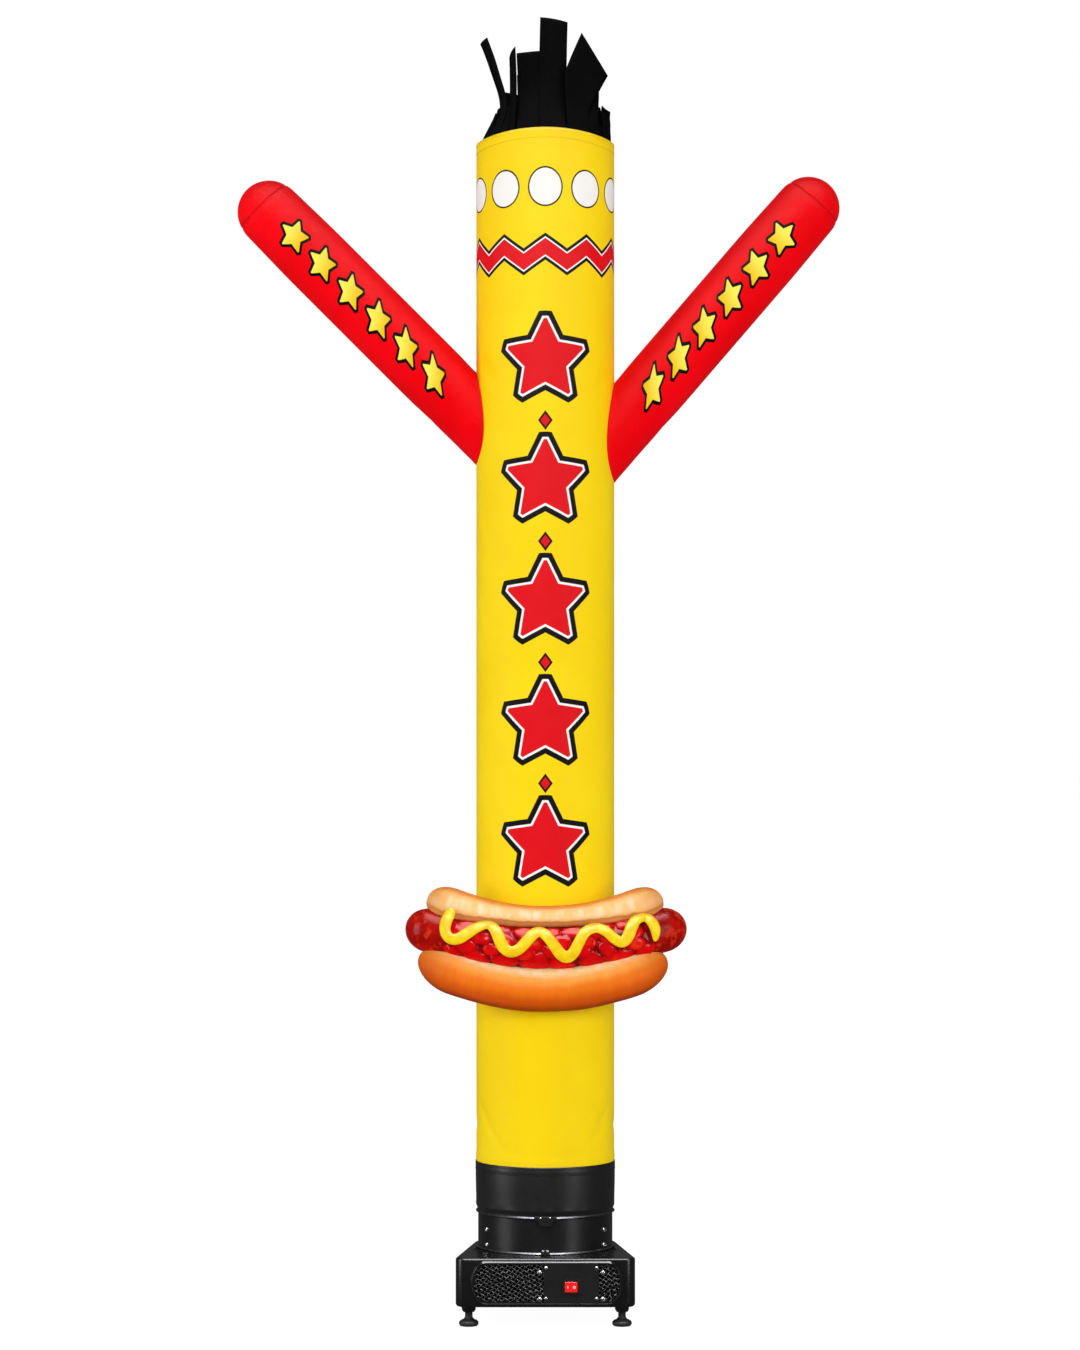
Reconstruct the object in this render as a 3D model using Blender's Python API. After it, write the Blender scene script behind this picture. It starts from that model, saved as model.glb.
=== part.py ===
"""Inflatable air dancer on its blower base.

A black blower stands on four levelling feet.  Its drum carries a vinyl cuff, the
cuff carries a tall nylon tube, and the tube carries two inflated arms, a crop of
nylon strips and a stuffed hot dog.  Metres, +Z up.  The origin lies on the floor,
on the axis that the drum and the tube share; -Y is the front, +X the right side
as seen from the front.
"""
import math

import bmesh
import bpy
from mathutils import Matrix, Vector

# ---------------------------------------------------------------- driving sizes
GAP = 0.0003                 # left between pieces that touch
ROUND_STEPS = 36             # sides of every round piece on the main axis
STEP_ANGLE = 2 * math.pi / ROUND_STEPS
OVERCUT = 0.02               # how far a cutter reaches past the face it cuts
MM = 0.001

# blower housing: a moulded shell, wide in front and round behind
HOUSING_FLOOR = 0.0448       # underside
HOUSING_DECK = 0.1525        # flat top
HOUSING_WALL = 0.004
CORNER_X, CORNER_Y = 0.1725, -0.178  # centres of the two front corner posts
CORNER_R = 0.024
BACK_Y, BACK_R = 0.035, 0.162        # the round back
CORNER_STEPS, BACK_STEPS = 5, 15
HOUSING_FRONT = CORNER_Y - CORNER_R
BOTTOM_ROUND, DECK_ROUND = 0.007, 0.004
DECK_HOLE_R = 0.1405

# air inlet in the housing's front
INLET_X, INLET_Z = 0.0030, 0.0985    # its centre
INLET_STRAIGHT = 0.263       # length between the elliptical ends
INLET_END, INLET_HALF = 0.036, 0.049     # half axes of an end
BEZEL_WIDTH, BEZEL_DEPTH = 0.0050, 0.0055
INLET_LEDGE = 0.0095         # from the bezel's outline in to the hole in the shell
GUARD_THICK = 0.0018
GUARD_PITCH = 0.0160         # side of a diamond and its wire
GUARD_WIRE = 0.0030
GUARD_RIM = 0.0030           # plain rim inside the bezel

# control panel and rocker switch
PANEL_X = 0.0566
PANEL_W, PANEL_H, PANEL_THICK = 0.120, 0.0865, 0.0025
PANEL_CORNER = 0.0030
PANEL_SCREW = (0.0036, 0.0022)       # radius and height of a screw's head
PANEL_SCREW_DX, PANEL_SCREW_DZ = 0.0553, 0.0335
GUARD_SCREW = (0.0055, 0.0032)
GUARD_SCREW_DX = 0.0690
GUARD_SCREW_Z = (0.0630, 0.1210)
SWITCH_X, SWITCH_Z = 0.0573, 0.0911
SWITCH_FLANGE = (0.042, 0.031, 0.0020)
SWITCH_BODY = (0.0350, 0.0266, 0.0170)
SWITCH_CORNER, SWITCH_BACK = 0.0020, 0.0020
ROCKER_W, ROCKER_H = 0.0285, 0.0225
ROCKER_AXIS_DEPTH = 0.0080   # hinge line behind the flange's face
ROCKER_TILT = math.radians(8.0)
ROCKER_END = math.radians(28.0)      # half angle of each round end
ROCKER_BACK = 0.0060         # depth of its flat back behind the hinge line

# levelling feet: (x, y) of each
FEET = {"front_left": (-0.168, -0.168), "front_right": (0.168, -0.168),
        "back_left": (-0.085, 0.139), "back_right": (0.085, 0.139)}
FOOT_STEPS = 16
FOOT_R, FOOT_H = 0.0215, 0.0150
NECK_R, NECK_TOP = 0.0098, 0.0205    # halfway up the disc's cone, and where that meets the stem
STEM_R, STEM_TOP = 0.0085, 0.0640
BOSS_R, BOSS_H = 0.0155, 0.0135
BOSS_END, BOSS_TAPER = 0.0122, 0.0055    # radius and height of its tapered lower end
STEM_CLEAR = 0.0004

# drum, hoops and cuff
DRUM_R, DRUM_WALL, DRUM_TOP = 0.1500, 0.0025, 0.3300
HOOP_THICK, HOOP_TALL = 0.0033, 0.0044
LOWER_HOOP_Z = HOUSING_DECK + GAP + HOOP_TALL / 2
UPPER_HOOP_Z = 0.2338
CLASP_THICK, CLASP_BOLT = 0.0016, (0.0027, 0.0018)
# outline of each clasp as (x, z) in millimetres from the hoop's middle, right half
UPPER_CLASP = ((10.5, -18.0), (14.0, -14.0), (17.0, -5.4), (25.0, -3.4), (25.0, 3.4))
LOWER_CLASP = ((10.5, -2.0), (8.4, 9.5))
UPPER_BOLTS, LOWER_BOLTS = (10.5, 0.0), (5.2, 5.5)     # place of the right bolt
CUFF_WALL = 0.0012
CUFF_BOTTOM, CUFF_TOP = 0.2295, 0.3400
CUFF_NECK = (0.2380, 0.2480)         # where it widens above the hoop
CUFF_NECK_R = 0.1532                 # inside, just above that
DRUM_SCREW = (0.0062, 0.0042)
DRUM_SCREW_ANGLES = (60, -60, 120, -120)
DRUM_SCREW_Z = (0.1640, 0.1977)

# nylon tube
TUBE_R, CLOTH = 0.1540, 0.0015
TUBE_BOTTOM, TUBE_TOP = 0.3150, 2.6100
RIM_RISE = 0.0210            # the rim stands higher in front and behind
RIM_RISE_FROM = 2.40

# arms: root height on the tube's side, rise above level, radius, length to the round end
ARMS = {
    "left": dict(side=-1, root_z=1.998, rise=45.0, radius=0.0752, length=0.650),
    "right": dict(side=1, root_z=1.966, rise=49.3, radius=0.0747, length=0.660),
}
ARM_STEPS = 20
SLEEVE_START = -0.10         # before the root, trimmed off by the tube
CAP_SEAM = 0.021             # seam of the end cap, past the centre of the round end
SEAM_DRAWN = 0.0016          # how far the seam's thread draws the cloth in
ROOT_TAPER, TIP_TAPER = 0.035, 0.040     # shares of the radius lost at the two ends
PORT_R = 0.0640              # hole in the tube under each arm
PORT_CUT = (-0.06, 0.09)     # stretch of the arm's axis that its cutter takes

# hot dog: lobes that follow one smile-shaped line, bowed back round the tube
DOG_BOW_R = 0.55             # radius of the line in plan
SAUSAGE = dict(left=-0.3031, right=0.3061, y=-0.179, z=0.8285, rise=0.036, at=0.26,
               high=0.0465, deep=0.040, swell=0.002, end=0.048)
BUN_LOWER = dict(left=-0.2756, right=0.2652, y=-0.191, z=0.7390, rise=0.050, at=0.235,
                 high=0.0485, deep=0.043, swell=0.0035, end=0.080)
BUN_UPPER = dict(left=-0.2589, right=0.2576, y=-0.169, z=0.8953, rise=0.022, at=0.20,
                 high=0.0253, deep=0.036, swell=0.0134, end=0.060)
RELISH_THICK = 0.0085
RELISH_SPAN = (-0.205, 0.222)
RELISH_TURNS = (math.radians(-58), math.radians(62))   # round the sausage, from straight ahead
# lumps of the relish: waves per metre along, per radian round, phase, share
RELISH_WAVES = ((96.0, 3.1, 1.3, 1.0), (61.0, 2.2, -0.7, 1.0), (150.0, 4.0, 0.0, 0.6))
MUSTARD_WIDE, MUSTARD_THICK = 0.0104, 0.0048    # half sizes
MUSTARD_SEAT = 0.0082        # its underside over the sausage, just clear of the highest lumps
BUN_CLEAR = 0.0040           # left between the mustard and the bun it crosses

# gland for the mains lead, in the middle of the housing's back
GLAND_Z = 0.0900
# its nut and tapered nose, with a blind mouth: radius and distance out, in millimetres
GLAND = ((0, 0), (11, 0), (11, 5.5), (8.2, 6.5), (8.2, 9.5), (6.2, 16.5), (4.0, 16.5),
         (3.6, 14.5), (0, 14.5))


# ---------------------------------------------------------------- shared helpers
def clear_scene():
    for thing in list(bpy.data.objects):
        bpy.data.objects.remove(thing, do_unlink=True)


def material(name, colour, roughness, metallic=0.0):
    """A Principled BSDF with one colour, roughness and metallic value."""
    made = bpy.data.materials.new(name)
    made.use_nodes = True
    shader = made.node_tree.nodes["Principled BSDF"]
    shader.inputs["Base Color"].default_value = (*colour, 1.0)
    shader.inputs["Roughness"].default_value = roughness
    shader.inputs["Metallic"].default_value = metallic
    made.diffuse_color = (*colour, 1.0)
    return made


def to_object(bm, name, finish=None, smooth=True, at=(0, 0, 0)):
    """Merge, turn the faces outwards and put the mesh in an object."""
    bmesh.ops.remove_doubles(bm, verts=bm.verts, dist=0.00002)
    bmesh.ops.recalc_face_normals(bm, faces=bm.faces)
    mesh = bpy.data.meshes.new(name)
    bm.to_mesh(mesh)
    bm.free()
    if smooth:
        mesh.shade_smooth()
        mesh.set_sharp_from_angle(angle=math.radians(40))
    made = bpy.data.objects.new(name, mesh)
    made.location = at
    if finish:
        mesh.materials.append(finish)
    bpy.context.collection.objects.link(made)
    return made


def as_cutter(thing):
    thing.hide_render = True
    thing.display_type = "WIRE"
    return thing


def boolean(target, tool, operation="DIFFERENCE"):
    cut = target.modifiers.new(operation.title(), "BOOLEAN")
    cut.operation = operation
    cut.object = tool
    return cut


def spin_profile(profile, steps=ROUND_STEPS, closed=True, start=STEP_ANGLE / 2):
    """Turn a profile of (radius, height) round the Z axis."""
    bm = bmesh.new()
    facing = Matrix.Rotation(start, 3, "Z")
    verts = [bm.verts.new(facing @ Vector((r, 0, z))) for r, z in profile]
    pairs = list(zip(verts, verts[1:]))
    if closed:
        pairs.append((verts[-1], verts[0]))
    edges = [bm.edges.new(pair) for pair in pairs]
    bmesh.ops.spin(bm, geom=verts + edges, cent=(0, 0, 0), axis=(0, 0, 1),
                   angle=2 * math.pi, steps=steps, use_merge=True)
    return bm


def turned(name, profile, finish, steps=ROUND_STEPS, at=(0, 0, 0), start=STEP_ANGLE / 2):
    """A ring or tube turned from a closed profile."""
    return to_object(spin_profile(profile, steps, start=start), name, finish, at=at)


def turned_solid(name, profile, finish, steps, at=(0, 0, 0), axis=(0, 0, 1)):
    """A solid of revolution whose profile starts and ends on the axis."""
    bm = spin_profile(profile, steps, closed=False)
    bmesh.ops.remove_doubles(bm, verts=bm.verts, dist=0.00002)
    made = to_object(bm, name, finish, at=at)
    made.rotation_mode = "QUATERNION"
    made.rotation_quaternion = Vector((0, 0, 1)).rotation_difference(Vector(axis))
    return made


def round_cutter(name, radius, low, high, steps=ROUND_STEPS, **place):
    """A cylinder from low to high along its axis, to cut with."""
    return as_cutter(turned_solid(name, ((0, low), (radius, low), (radius, high), (0, high)),
                                  None, steps, **place))


def prism(name, outline, low, high, finish=None, smooth=False):
    """Extrude a closed outline of (x, y) from z = low to z = high."""
    bm = bmesh.new()
    face = bm.faces.new([bm.verts.new((x, y, low)) for x, y in outline])
    grown = bmesh.ops.extrude_face_region(bm, geom=[face])["geom"]
    verts = [item for item in grown if isinstance(item, bmesh.types.BMVert)]
    bmesh.ops.translate(bm, verts=verts, vec=(0, 0, high - low))
    return to_object(bm, name, finish, smooth)


def front_prism(name, outline, back, front, finish=None, smooth=False):
    """Extrude a closed outline of (x, z) along Y, from y = back to y = front."""
    made = prism(name, outline, 0.0, back - front, finish, smooth)
    made.rotation_euler = (math.radians(90), 0, 0)
    made.location = (0, back, 0)
    return made


def rectangle(wide, tall, cx=0.0, cy=0.0, corner=0.0, steps=3):
    """Outline of a rectangle with round corners."""
    if corner <= 0:
        return [(cx + sx * wide / 2, cy + sy * tall / 2)
                for sx, sy in ((-1, -1), (1, -1), (1, 1), (-1, 1))]
    points = []
    for index, (sx, sy) in enumerate(((1, -1), (1, 1), (-1, 1), (-1, -1))):
        for step in range(steps + 1):
            turn = math.radians(-90 + 90 * index + 90 * step / steps)
            points.append((cx + sx * (wide / 2 - corner) + corner * math.cos(turn),
                           cy + sy * (tall / 2 - corner) + corner * math.sin(turn)))
    return points


def smooth_step(value):
    value = min(max(value, 0.0), 1.0)
    return value * value * (3 - 2 * value)


def thickened(thing, by, name):
    """A copy of a closed object, pushed out along its normals, to cut with."""
    bm = bmesh.new()
    bm.from_mesh(thing.data)
    bm.normal_update()
    pushed = [(vert, vert.co + vert.normal * by) for vert in bm.verts]
    for vert, place in pushed:
        vert.co = place
    return as_cutter(to_object(bm, name))


# ---------------------------------------------------------------- materials
def make_materials():
    return {
        "housing": material("black_housing_plastic", (0.018, 0.018, 0.020), 0.42),
        "drum": material("black_drum_plastic", (0.016, 0.016, 0.018), 0.38),
        "cuff": material("black_cuff_vinyl", (0.020, 0.020, 0.021), 0.50),
        "guard": material("black_guard_wire", (0.030, 0.030, 0.032), 0.35, 0.6),
        "panel": material("black_panel_plastic", (0.022, 0.022, 0.024), 0.48),
        "screw": material("dark_screw_steel", (0.055, 0.055, 0.058), 0.28, 1.0),
        "hoop": material("dark_hoop_steel", (0.045, 0.045, 0.048), 0.25, 1.0),
        "rocker": material("red_rocker_plastic", (0.75, 0.02, 0.02), 0.25),
        "foot": material("black_foot_rubber", (0.015, 0.015, 0.015), 0.55),
        "yellow": material("yellow_nylon", (0.95, 0.76, 0.03), 0.45),
        "red": material("red_nylon", (0.80, 0.015, 0.02), 0.45),
        "black": material("black_nylon", (0.008, 0.008, 0.009), 0.60),
        "crust": material("brown_bun_cloth", (0.75, 0.33, 0.08), 0.40),
        "crumb": material("tan_bun_cloth", (0.80, 0.52, 0.24), 0.45),
        "sausage": material("red_sausage_cloth", (0.62, 0.03, 0.01), 0.25),
        "relish": material("red_relish_cloth", (0.65, 0.01, 0.01), 0.20),
        "mustard": material("yellow_mustard_cloth", (0.95, 0.65, 0.02), 0.25),
    }


# ---------------------------------------------------------------- blower housing
def side_bearing():
    """Direction that the housing's straight side faces, as an angle from +X."""
    reach = Vector((CORNER_X, CORNER_Y - BACK_Y))
    return math.atan2(reach.y, reach.x) + math.acos((BACK_R - CORNER_R) / reach.length)


def housing_outline(inset):
    """Plan of the housing: two front corner posts and a round back, held by tangents."""
    side = side_bearing()
    runs = ((CORNER_X, CORNER_Y, CORNER_R, -math.pi / 2, side, CORNER_STEPS),
            (0.0, BACK_Y, BACK_R, side, math.pi - side, BACK_STEPS),
            (-CORNER_X, CORNER_Y, CORNER_R, math.pi - side, 1.5 * math.pi, CORNER_STEPS))
    points = []
    for cx, cy, radius, first, last, steps in runs:
        for step in range(steps + 1):
            turn = first + (last - first) * step / steps
            points.append((cx + (radius - inset) * math.cos(turn),
                           cy + (radius - inset) * math.sin(turn)))
    return points


def layered_prism(name, layers, finish=None):
    """Stack housing outlines of (inset, z) into one closed body."""
    bm = bmesh.new()
    rings = []
    for inset, z in layers:
        verts = [bm.verts.new((x, y, z)) for x, y in housing_outline(inset)]
        rings.append([bm.edges.new(pair) for pair in zip(verts, verts[1:] + verts[:1])])
        if len(rings) in (1, len(layers)):
            bm.faces.new(verts)
    for lower, upper in zip(rings, rings[1:]):
        bmesh.ops.bridge_loops(bm, edges=lower + upper)
    return to_object(bm, name, finish)


def stadium(inset, steps=10):
    """Outline of the inlet, drawn in by an inset, as (x, z) points."""
    half = INLET_STRAIGHT / 2
    points = []
    for side in (1, -1):
        for step in range(steps + 1):
            turn = math.radians(-90 + 180 * step / steps)
            points.append((INLET_X + side * (half + (INLET_END - inset) * math.cos(turn)),
                           INLET_Z + side * (INLET_HALF - inset) * math.sin(turn)))
    return points


def make_housing(finish):
    low, high = HOUSING_FLOOR, HOUSING_DECK
    half = 1 - math.sqrt(0.5)
    layers = ((BOTTOM_ROUND, low),
              (BOTTOM_ROUND * half, low + BOTTOM_ROUND * half),
              (0.0, low + BOTTOM_ROUND),
              (0.0, high - DECK_ROUND),
              (DECK_ROUND * half, high - DECK_ROUND * half),
              (DECK_ROUND, high))
    body = layered_prism("housing", layers, finish["housing"])
    cavity = as_cutter(layered_prism("housing_cavity", (
        (HOUSING_WALL, low + HOUSING_WALL), (HOUSING_WALL, high - HOUSING_WALL))))
    mouth = round_cutter("housing_mouth", DECK_HOLE_R, high - OVERCUT, high + OVERCUT)
    inlet = as_cutter(front_prism("housing_inlet", stadium(INLET_LEDGE),
                                  HOUSING_FRONT + OVERCUT, HOUSING_FRONT - OVERCUT))
    boolean(body, cavity)
    boolean(body, mouth)
    boolean(body, inlet)
    for place, (x, y) in FEET.items():
        boolean(body, round_cutter("housing_bore_" + place, STEM_R + STEM_CLEAR,
                                   low - OVERCUT, low + OVERCUT, FOOT_STEPS, at=(x, y, 0)))
    return body


def make_inlet(finish):
    """Bezel round the inlet, and the diamond guard that lies inside it."""
    back = HOUSING_FRONT - GAP
    front = back - BEZEL_DEPTH
    slope = 0.0015
    bm = bmesh.new()
    rings = []
    for inset, y in ((0, back), (0, front + slope), (slope, front),
                     (BEZEL_WIDTH - slope, front), (BEZEL_WIDTH, front + slope),
                     (BEZEL_WIDTH, back)):
        verts = [bm.verts.new((x, y, z)) for x, z in stadium(inset)]
        rings.append([bm.edges.new(pair) for pair in zip(verts, verts[1:] + verts[:1])])
    for one, other in zip(rings, rings[1:] + rings[:1]):
        bmesh.ops.bridge_loops(bm, edges=one + other)
    to_object(bm, "grille_bezel", finish["housing"])

    guard = front_prism("mesh_guard", stadium(BEZEL_WIDTH + GAP), back, back - GUARD_THICK,
                        finish["guard"])
    boolean(guard, make_diamonds(back))
    boolean(guard, switch_cutter("guard_switch_hole", back))


def make_diamonds(back):
    """Every diamond-shaped gap of the guard, in one cutter."""
    bm = bmesh.new()
    reach = GUARD_PITCH * math.sqrt(2) / 2
    half = (GUARD_PITCH - GUARD_WIRE) * math.sqrt(2) / 2
    corners = ((half, 0), (0, half), (-half, 0), (0, -half))
    columns = int((INLET_STRAIGHT / 2 + INLET_END) / reach) + 1
    rows = int(INLET_HALF / reach) + 1
    for column in range(-columns, columns + 1):
        for row in range(-rows, rows + 1):
            if (row + column) % 2:
                continue
            x, z = INLET_X + column * reach, INLET_Z + row * reach
            near_panel = abs(x - PANEL_X) < PANEL_W / 2 + half
            if near_panel or not all(inside_rim(x + dx, z + dz) for dx, dz in corners):
                continue
            face = bm.faces.new([bm.verts.new((x + dx, back + OVERCUT, z + dz))
                                 for dx, dz in corners])
            grown = bmesh.ops.extrude_face_region(bm, geom=[face])["geom"]
            verts = [item for item in grown if isinstance(item, bmesh.types.BMVert)]
            bmesh.ops.translate(bm, verts=verts, vec=(0, -2 * OVERCUT, 0))
    return as_cutter(to_object(bm, "guard_diamonds", smooth=False))


def inside_rim(x, z):
    """Whether a point of the inlet's plane lies inside the guard's plain rim."""
    inset = BEZEL_WIDTH + GUARD_RIM
    beyond = max(abs(x - INLET_X) - INLET_STRAIGHT / 2, 0.0)
    return math.hypot(beyond / (INLET_END - inset), (z - INLET_Z) / (INLET_HALF - inset)) < 1


# ---------------------------------------------------------------- panel and switch
def panel_face():
    return HOUSING_FRONT - 2 * GAP - GUARD_THICK - PANEL_THICK


def switch_cutter(name, back):
    wide, tall, deep = SWITCH_BODY
    return as_cutter(front_prism(name, rectangle(wide + 2 * GAP, tall + 2 * GAP,
                                                 SWITCH_X, SWITCH_Z),
                                 back + deep, back - OVERCUT))


def make_panel(finish):
    face = panel_face()
    panel = front_prism("control_panel",
                        rectangle(PANEL_W, PANEL_H, PANEL_X, INLET_Z, PANEL_CORNER),
                        face + PANEL_THICK, face, finish["panel"])
    boolean(panel, switch_cutter("panel_switch_hole", face))
    for row, dz in enumerate((-PANEL_SCREW_DZ, PANEL_SCREW_DZ)):
        for column, dx in enumerate((-PANEL_SCREW_DX, PANEL_SCREW_DX)):
            make_screw("panel_screw_%d" % (2 * row + column + 1), PANEL_SCREW,
                       (PANEL_X + dx, face - GAP, INLET_Z + dz), (0, -1, 0), finish)
    guard_face = face + PANEL_THICK + GAP
    for row, z in enumerate(GUARD_SCREW_Z):
        for column, dx in enumerate((-GUARD_SCREW_DX, GUARD_SCREW_DX)):
            make_screw("guard_screw_%d" % (2 * row + column + 1), GUARD_SCREW,
                       (PANEL_X + dx, guard_face - GAP, z), (0, -1, 0), finish)


def make_screw(name, size, at, axis, finish, steps=10):
    radius, height = size
    profile = ((0, height), (radius * 0.62, height * 0.84), (radius, height * 0.3),
               (radius, 0), (0, 0))
    return turned_solid(name, profile, finish["screw"], steps, at=at, axis=axis)


def make_switch(finish):
    """Rocker switch: a flanged frame through the panel, and the rocker in it."""
    face = panel_face() - GAP
    wide, tall, thick = SWITCH_FLANGE
    body_wide, body_tall, body_deep = SWITCH_BODY
    window_wide = 2 * rocker_reach() + 4 * GAP
    window_tall = ROCKER_H + 2 * GAP
    frame = front_prism("switch_frame",
                        rectangle(wide, tall, SWITCH_X, SWITCH_Z, SWITCH_CORNER),
                        face, face - thick, finish["panel"])
    body = as_cutter(front_prism("switch_body",
                                 rectangle(body_wide, body_tall, SWITCH_X, SWITCH_Z),
                                 face + body_deep, face - thick / 2))
    window = as_cutter(front_prism("switch_window",
                                   rectangle(window_wide, window_tall, SWITCH_X, SWITCH_Z),
                                   face + body_deep - SWITCH_BACK, face - OVERCUT))
    boolean(frame, body, "UNION")
    boolean(frame, window)

    hinge = bpy.data.objects.new("rocker_axis", None)
    hinge.location = (SWITCH_X, face - thick + ROCKER_AXIS_DEPTH, SWITCH_Z)
    hinge.rotation_euler = (0, 0, -ROCKER_TILT)
    bpy.context.collection.objects.link(hinge)
    rocker = prism("rocker", rocker_outline(), -ROCKER_H / 2, ROCKER_H / 2,
                   finish["rocker"])
    rocker.parent = hinge


def rocker_reach():
    """Greatest distance of the rocker's ends from its hinge line."""
    return math.hypot(ROCKER_W / 2, ROCKER_AXIS_DEPTH * 0.35)


def rocker_outline():
    """Plan of the rocker about its hinge: round ends and a face dished in two planes."""
    half = ROCKER_W / 2
    rise = half * math.tan(ROCKER_TILT)
    mid = -ROCKER_AXIS_DEPTH - 0.0004
    points = [(-half * 0.955, mid - rise), (0.0, mid), (half * 0.955, mid - rise)]
    end = [(math.cos(ROCKER_END * turn), math.sin(ROCKER_END * turn) * 0.8)
           for turn in (-1.0, -0.5, 0.0, 0.5, 1.0)]
    points += [(half * x, half * y) for x, y in end]
    points += [(half * 0.45, ROCKER_BACK), (-half * 0.45, ROCKER_BACK)]
    points += [(-half * x, half * y) for x, y in reversed(end)]
    return points


# ---------------------------------------------------------------- feet and gland
def make_feet(finish):
    """A threaded boss under the housing for each foot, and the foot on its stem."""
    inner = STEM_R + STEM_CLEAR
    top = HOUSING_FLOOR - GAP
    boss = ((inner, top - BOSS_H), (BOSS_END, top - BOSS_H),
            (BOSS_R, top - BOSS_H + BOSS_TAPER), (BOSS_R, top), (inner, top))
    foot = ((0, 0), (FOOT_R * 0.74, 0), (FOOT_R * 0.94, FOOT_H * 0.16), (FOOT_R, FOOT_H * 0.36),
            (FOOT_R, FOOT_H * 0.56), (FOOT_R * 0.84, FOOT_H * 0.82), (FOOT_R * 0.58, FOOT_H),
            (NECK_R, (FOOT_H + NECK_TOP) / 2), (STEM_R, NECK_TOP), (STEM_R, STEM_TOP),
            (0, STEM_TOP))
    for place, (x, y) in FEET.items():
        turned("boss_" + place, boss, finish["housing"], FOOT_STEPS, at=(x, y, 0))
        turned_solid("foot_" + place, foot, finish["foot"], FOOT_STEPS, at=(x, y, 0))


def make_gland(finish):
    """Clamp for the mains lead: a nut on the housing and a tapered nose, closed."""
    half_flat = (math.pi / 2 - side_bearing()) / BACK_STEPS
    seat = BACK_Y + BACK_R * math.cos(half_flat) + GAP
    turned_solid("cable_gland", [(r * MM, out * MM) for r, out in GLAND], finish["panel"], 12,
                 at=(0, seat, GLAND_Z), axis=(0, 1, 0))


# ---------------------------------------------------------------- drum, hoops, cuff
def make_drum(finish):
    low = HOUSING_DECK + GAP
    inner = DRUM_R - DRUM_WALL
    turned("drum", ((DRUM_R, low), (DRUM_R, DRUM_TOP - 0.001), (DRUM_R - 0.001, DRUM_TOP),
                    (inner, DRUM_TOP), (inner, low)), finish["drum"])
    flat = DRUM_R * math.cos(STEP_ANGLE / 2) + GAP
    number = 0
    for degrees in DRUM_SCREW_ANGLES:
        turn = math.radians(degrees)
        out = Vector((math.sin(turn), -math.cos(turn), 0))
        for z in DRUM_SCREW_Z:
            number += 1
            make_screw("drum_screw_%d" % number, DRUM_SCREW,
                       out * flat + Vector((0, 0, z)), out, finish)


def hoop_profile(inner, z):
    """Section of a hoop: a thin band with a rounded face."""
    half = HOOP_TALL / 2
    return ((inner, z - half), (inner + HOOP_THICK * 0.6, z - half),
            (inner + HOOP_THICK, z - half * 0.4), (inner + HOOP_THICK, z + half * 0.4),
            (inner + HOOP_THICK * 0.6, z + half), (inner, z + half))


def make_hoops(finish):
    lower_r = DRUM_R + GAP
    upper_r = DRUM_R + 2 * GAP + CUFF_WALL
    turned("lower_hoop", hoop_profile(lower_r, LOWER_HOOP_Z), finish["hoop"])
    turned("upper_hoop", hoop_profile(upper_r, UPPER_HOOP_Z), finish["hoop"])
    make_clasp("lower_clasp", lower_r, LOWER_HOOP_Z, LOWER_CLASP, LOWER_BOLTS, finish)
    make_clasp("upper_clasp", upper_r, UPPER_HOOP_Z, UPPER_CLASP, UPPER_BOLTS, finish)


def make_clasp(name, hoop_r, z, half_outline, bolt, finish):
    """Plate that closes a hoop at the front, with two bolts."""
    back = -(hoop_r + HOOP_THICK) * math.cos(STEP_ANGLE / 2) - GAP
    right = [(x * MM, z + up * MM) for x, up in half_outline]
    left = [(-x, up) for x, up in reversed(right)]
    front_prism(name, right + left, back, back - CLASP_THICK, finish["panel"])
    for number, side in enumerate((-1, 1)):
        make_screw("%s_bolt_%d" % (name, number + 1), CLASP_BOLT,
                   (side * bolt[0] * MM, back - CLASP_THICK - GAP, z + bolt[1] * MM),
                   (0, -1, 0), finish, steps=8)


def make_cuff(finish):
    """Vinyl cuff: clamped on the drum below, wide enough above to take the tube."""
    low, high = CUFF_NECK
    inside = ((DRUM_R + GAP, CUFF_BOTTOM), (DRUM_R + GAP, low), (CUFF_NECK_R, high),
              (TUBE_R + GAP, TUBE_BOTTOM), (TUBE_R + GAP, CUFF_TOP))
    outside = [(radius + CUFF_WALL, z) for radius, z in reversed(inside)]
    turned("base_cuff", [*inside, *outside], finish["cuff"])


# ---------------------------------------------------------------- tube
TUBE_ROWS = (0.315, 0.342, 0.362, 0.384, 0.408, 0.434, 0.464, 0.50, 0.62, 0.98, 1.40, 1.78,
             1.86, 1.93, 2.00, 2.07, 2.14, 2.22, 2.32, 2.41, 2.48, 2.55, 2.61)

# creases of the tube: degrees from the front, height, half length, slant, half width, depth
CREASES = (
    dict(at=62, z=0.412, long=0.060, slant=35, wide=0.011, deep=0.0030),
    dict(at=84, z=0.448, long=0.050, slant=-28, wide=0.012, deep=0.0026),
    dict(at=-66, z=0.405, long=0.062, slant=-38, wide=0.011, deep=0.0032),
    dict(at=-82, z=0.452, long=0.048, slant=24, wide=0.012, deep=0.0024),
    dict(at=150, z=0.420, long=0.060, slant=18, wide=0.013, deep=0.0024),
    dict(at=-140, z=0.430, long=0.055, slant=-30, wide=0.013, deep=0.0024),
    dict(at=58, z=2.080, long=0.045, slant=40, wide=0.016, deep=0.0022),
    dict(at=-58, z=2.105, long=0.045, slant=-40, wide=0.016, deep=0.0022),
    dict(at=125, z=2.060, long=0.045, slant=-35, wide=0.016, deep=0.0020),
    dict(at=-125, z=2.070, long=0.045, slant=35, wide=0.016, deep=0.0020),
)


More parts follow.
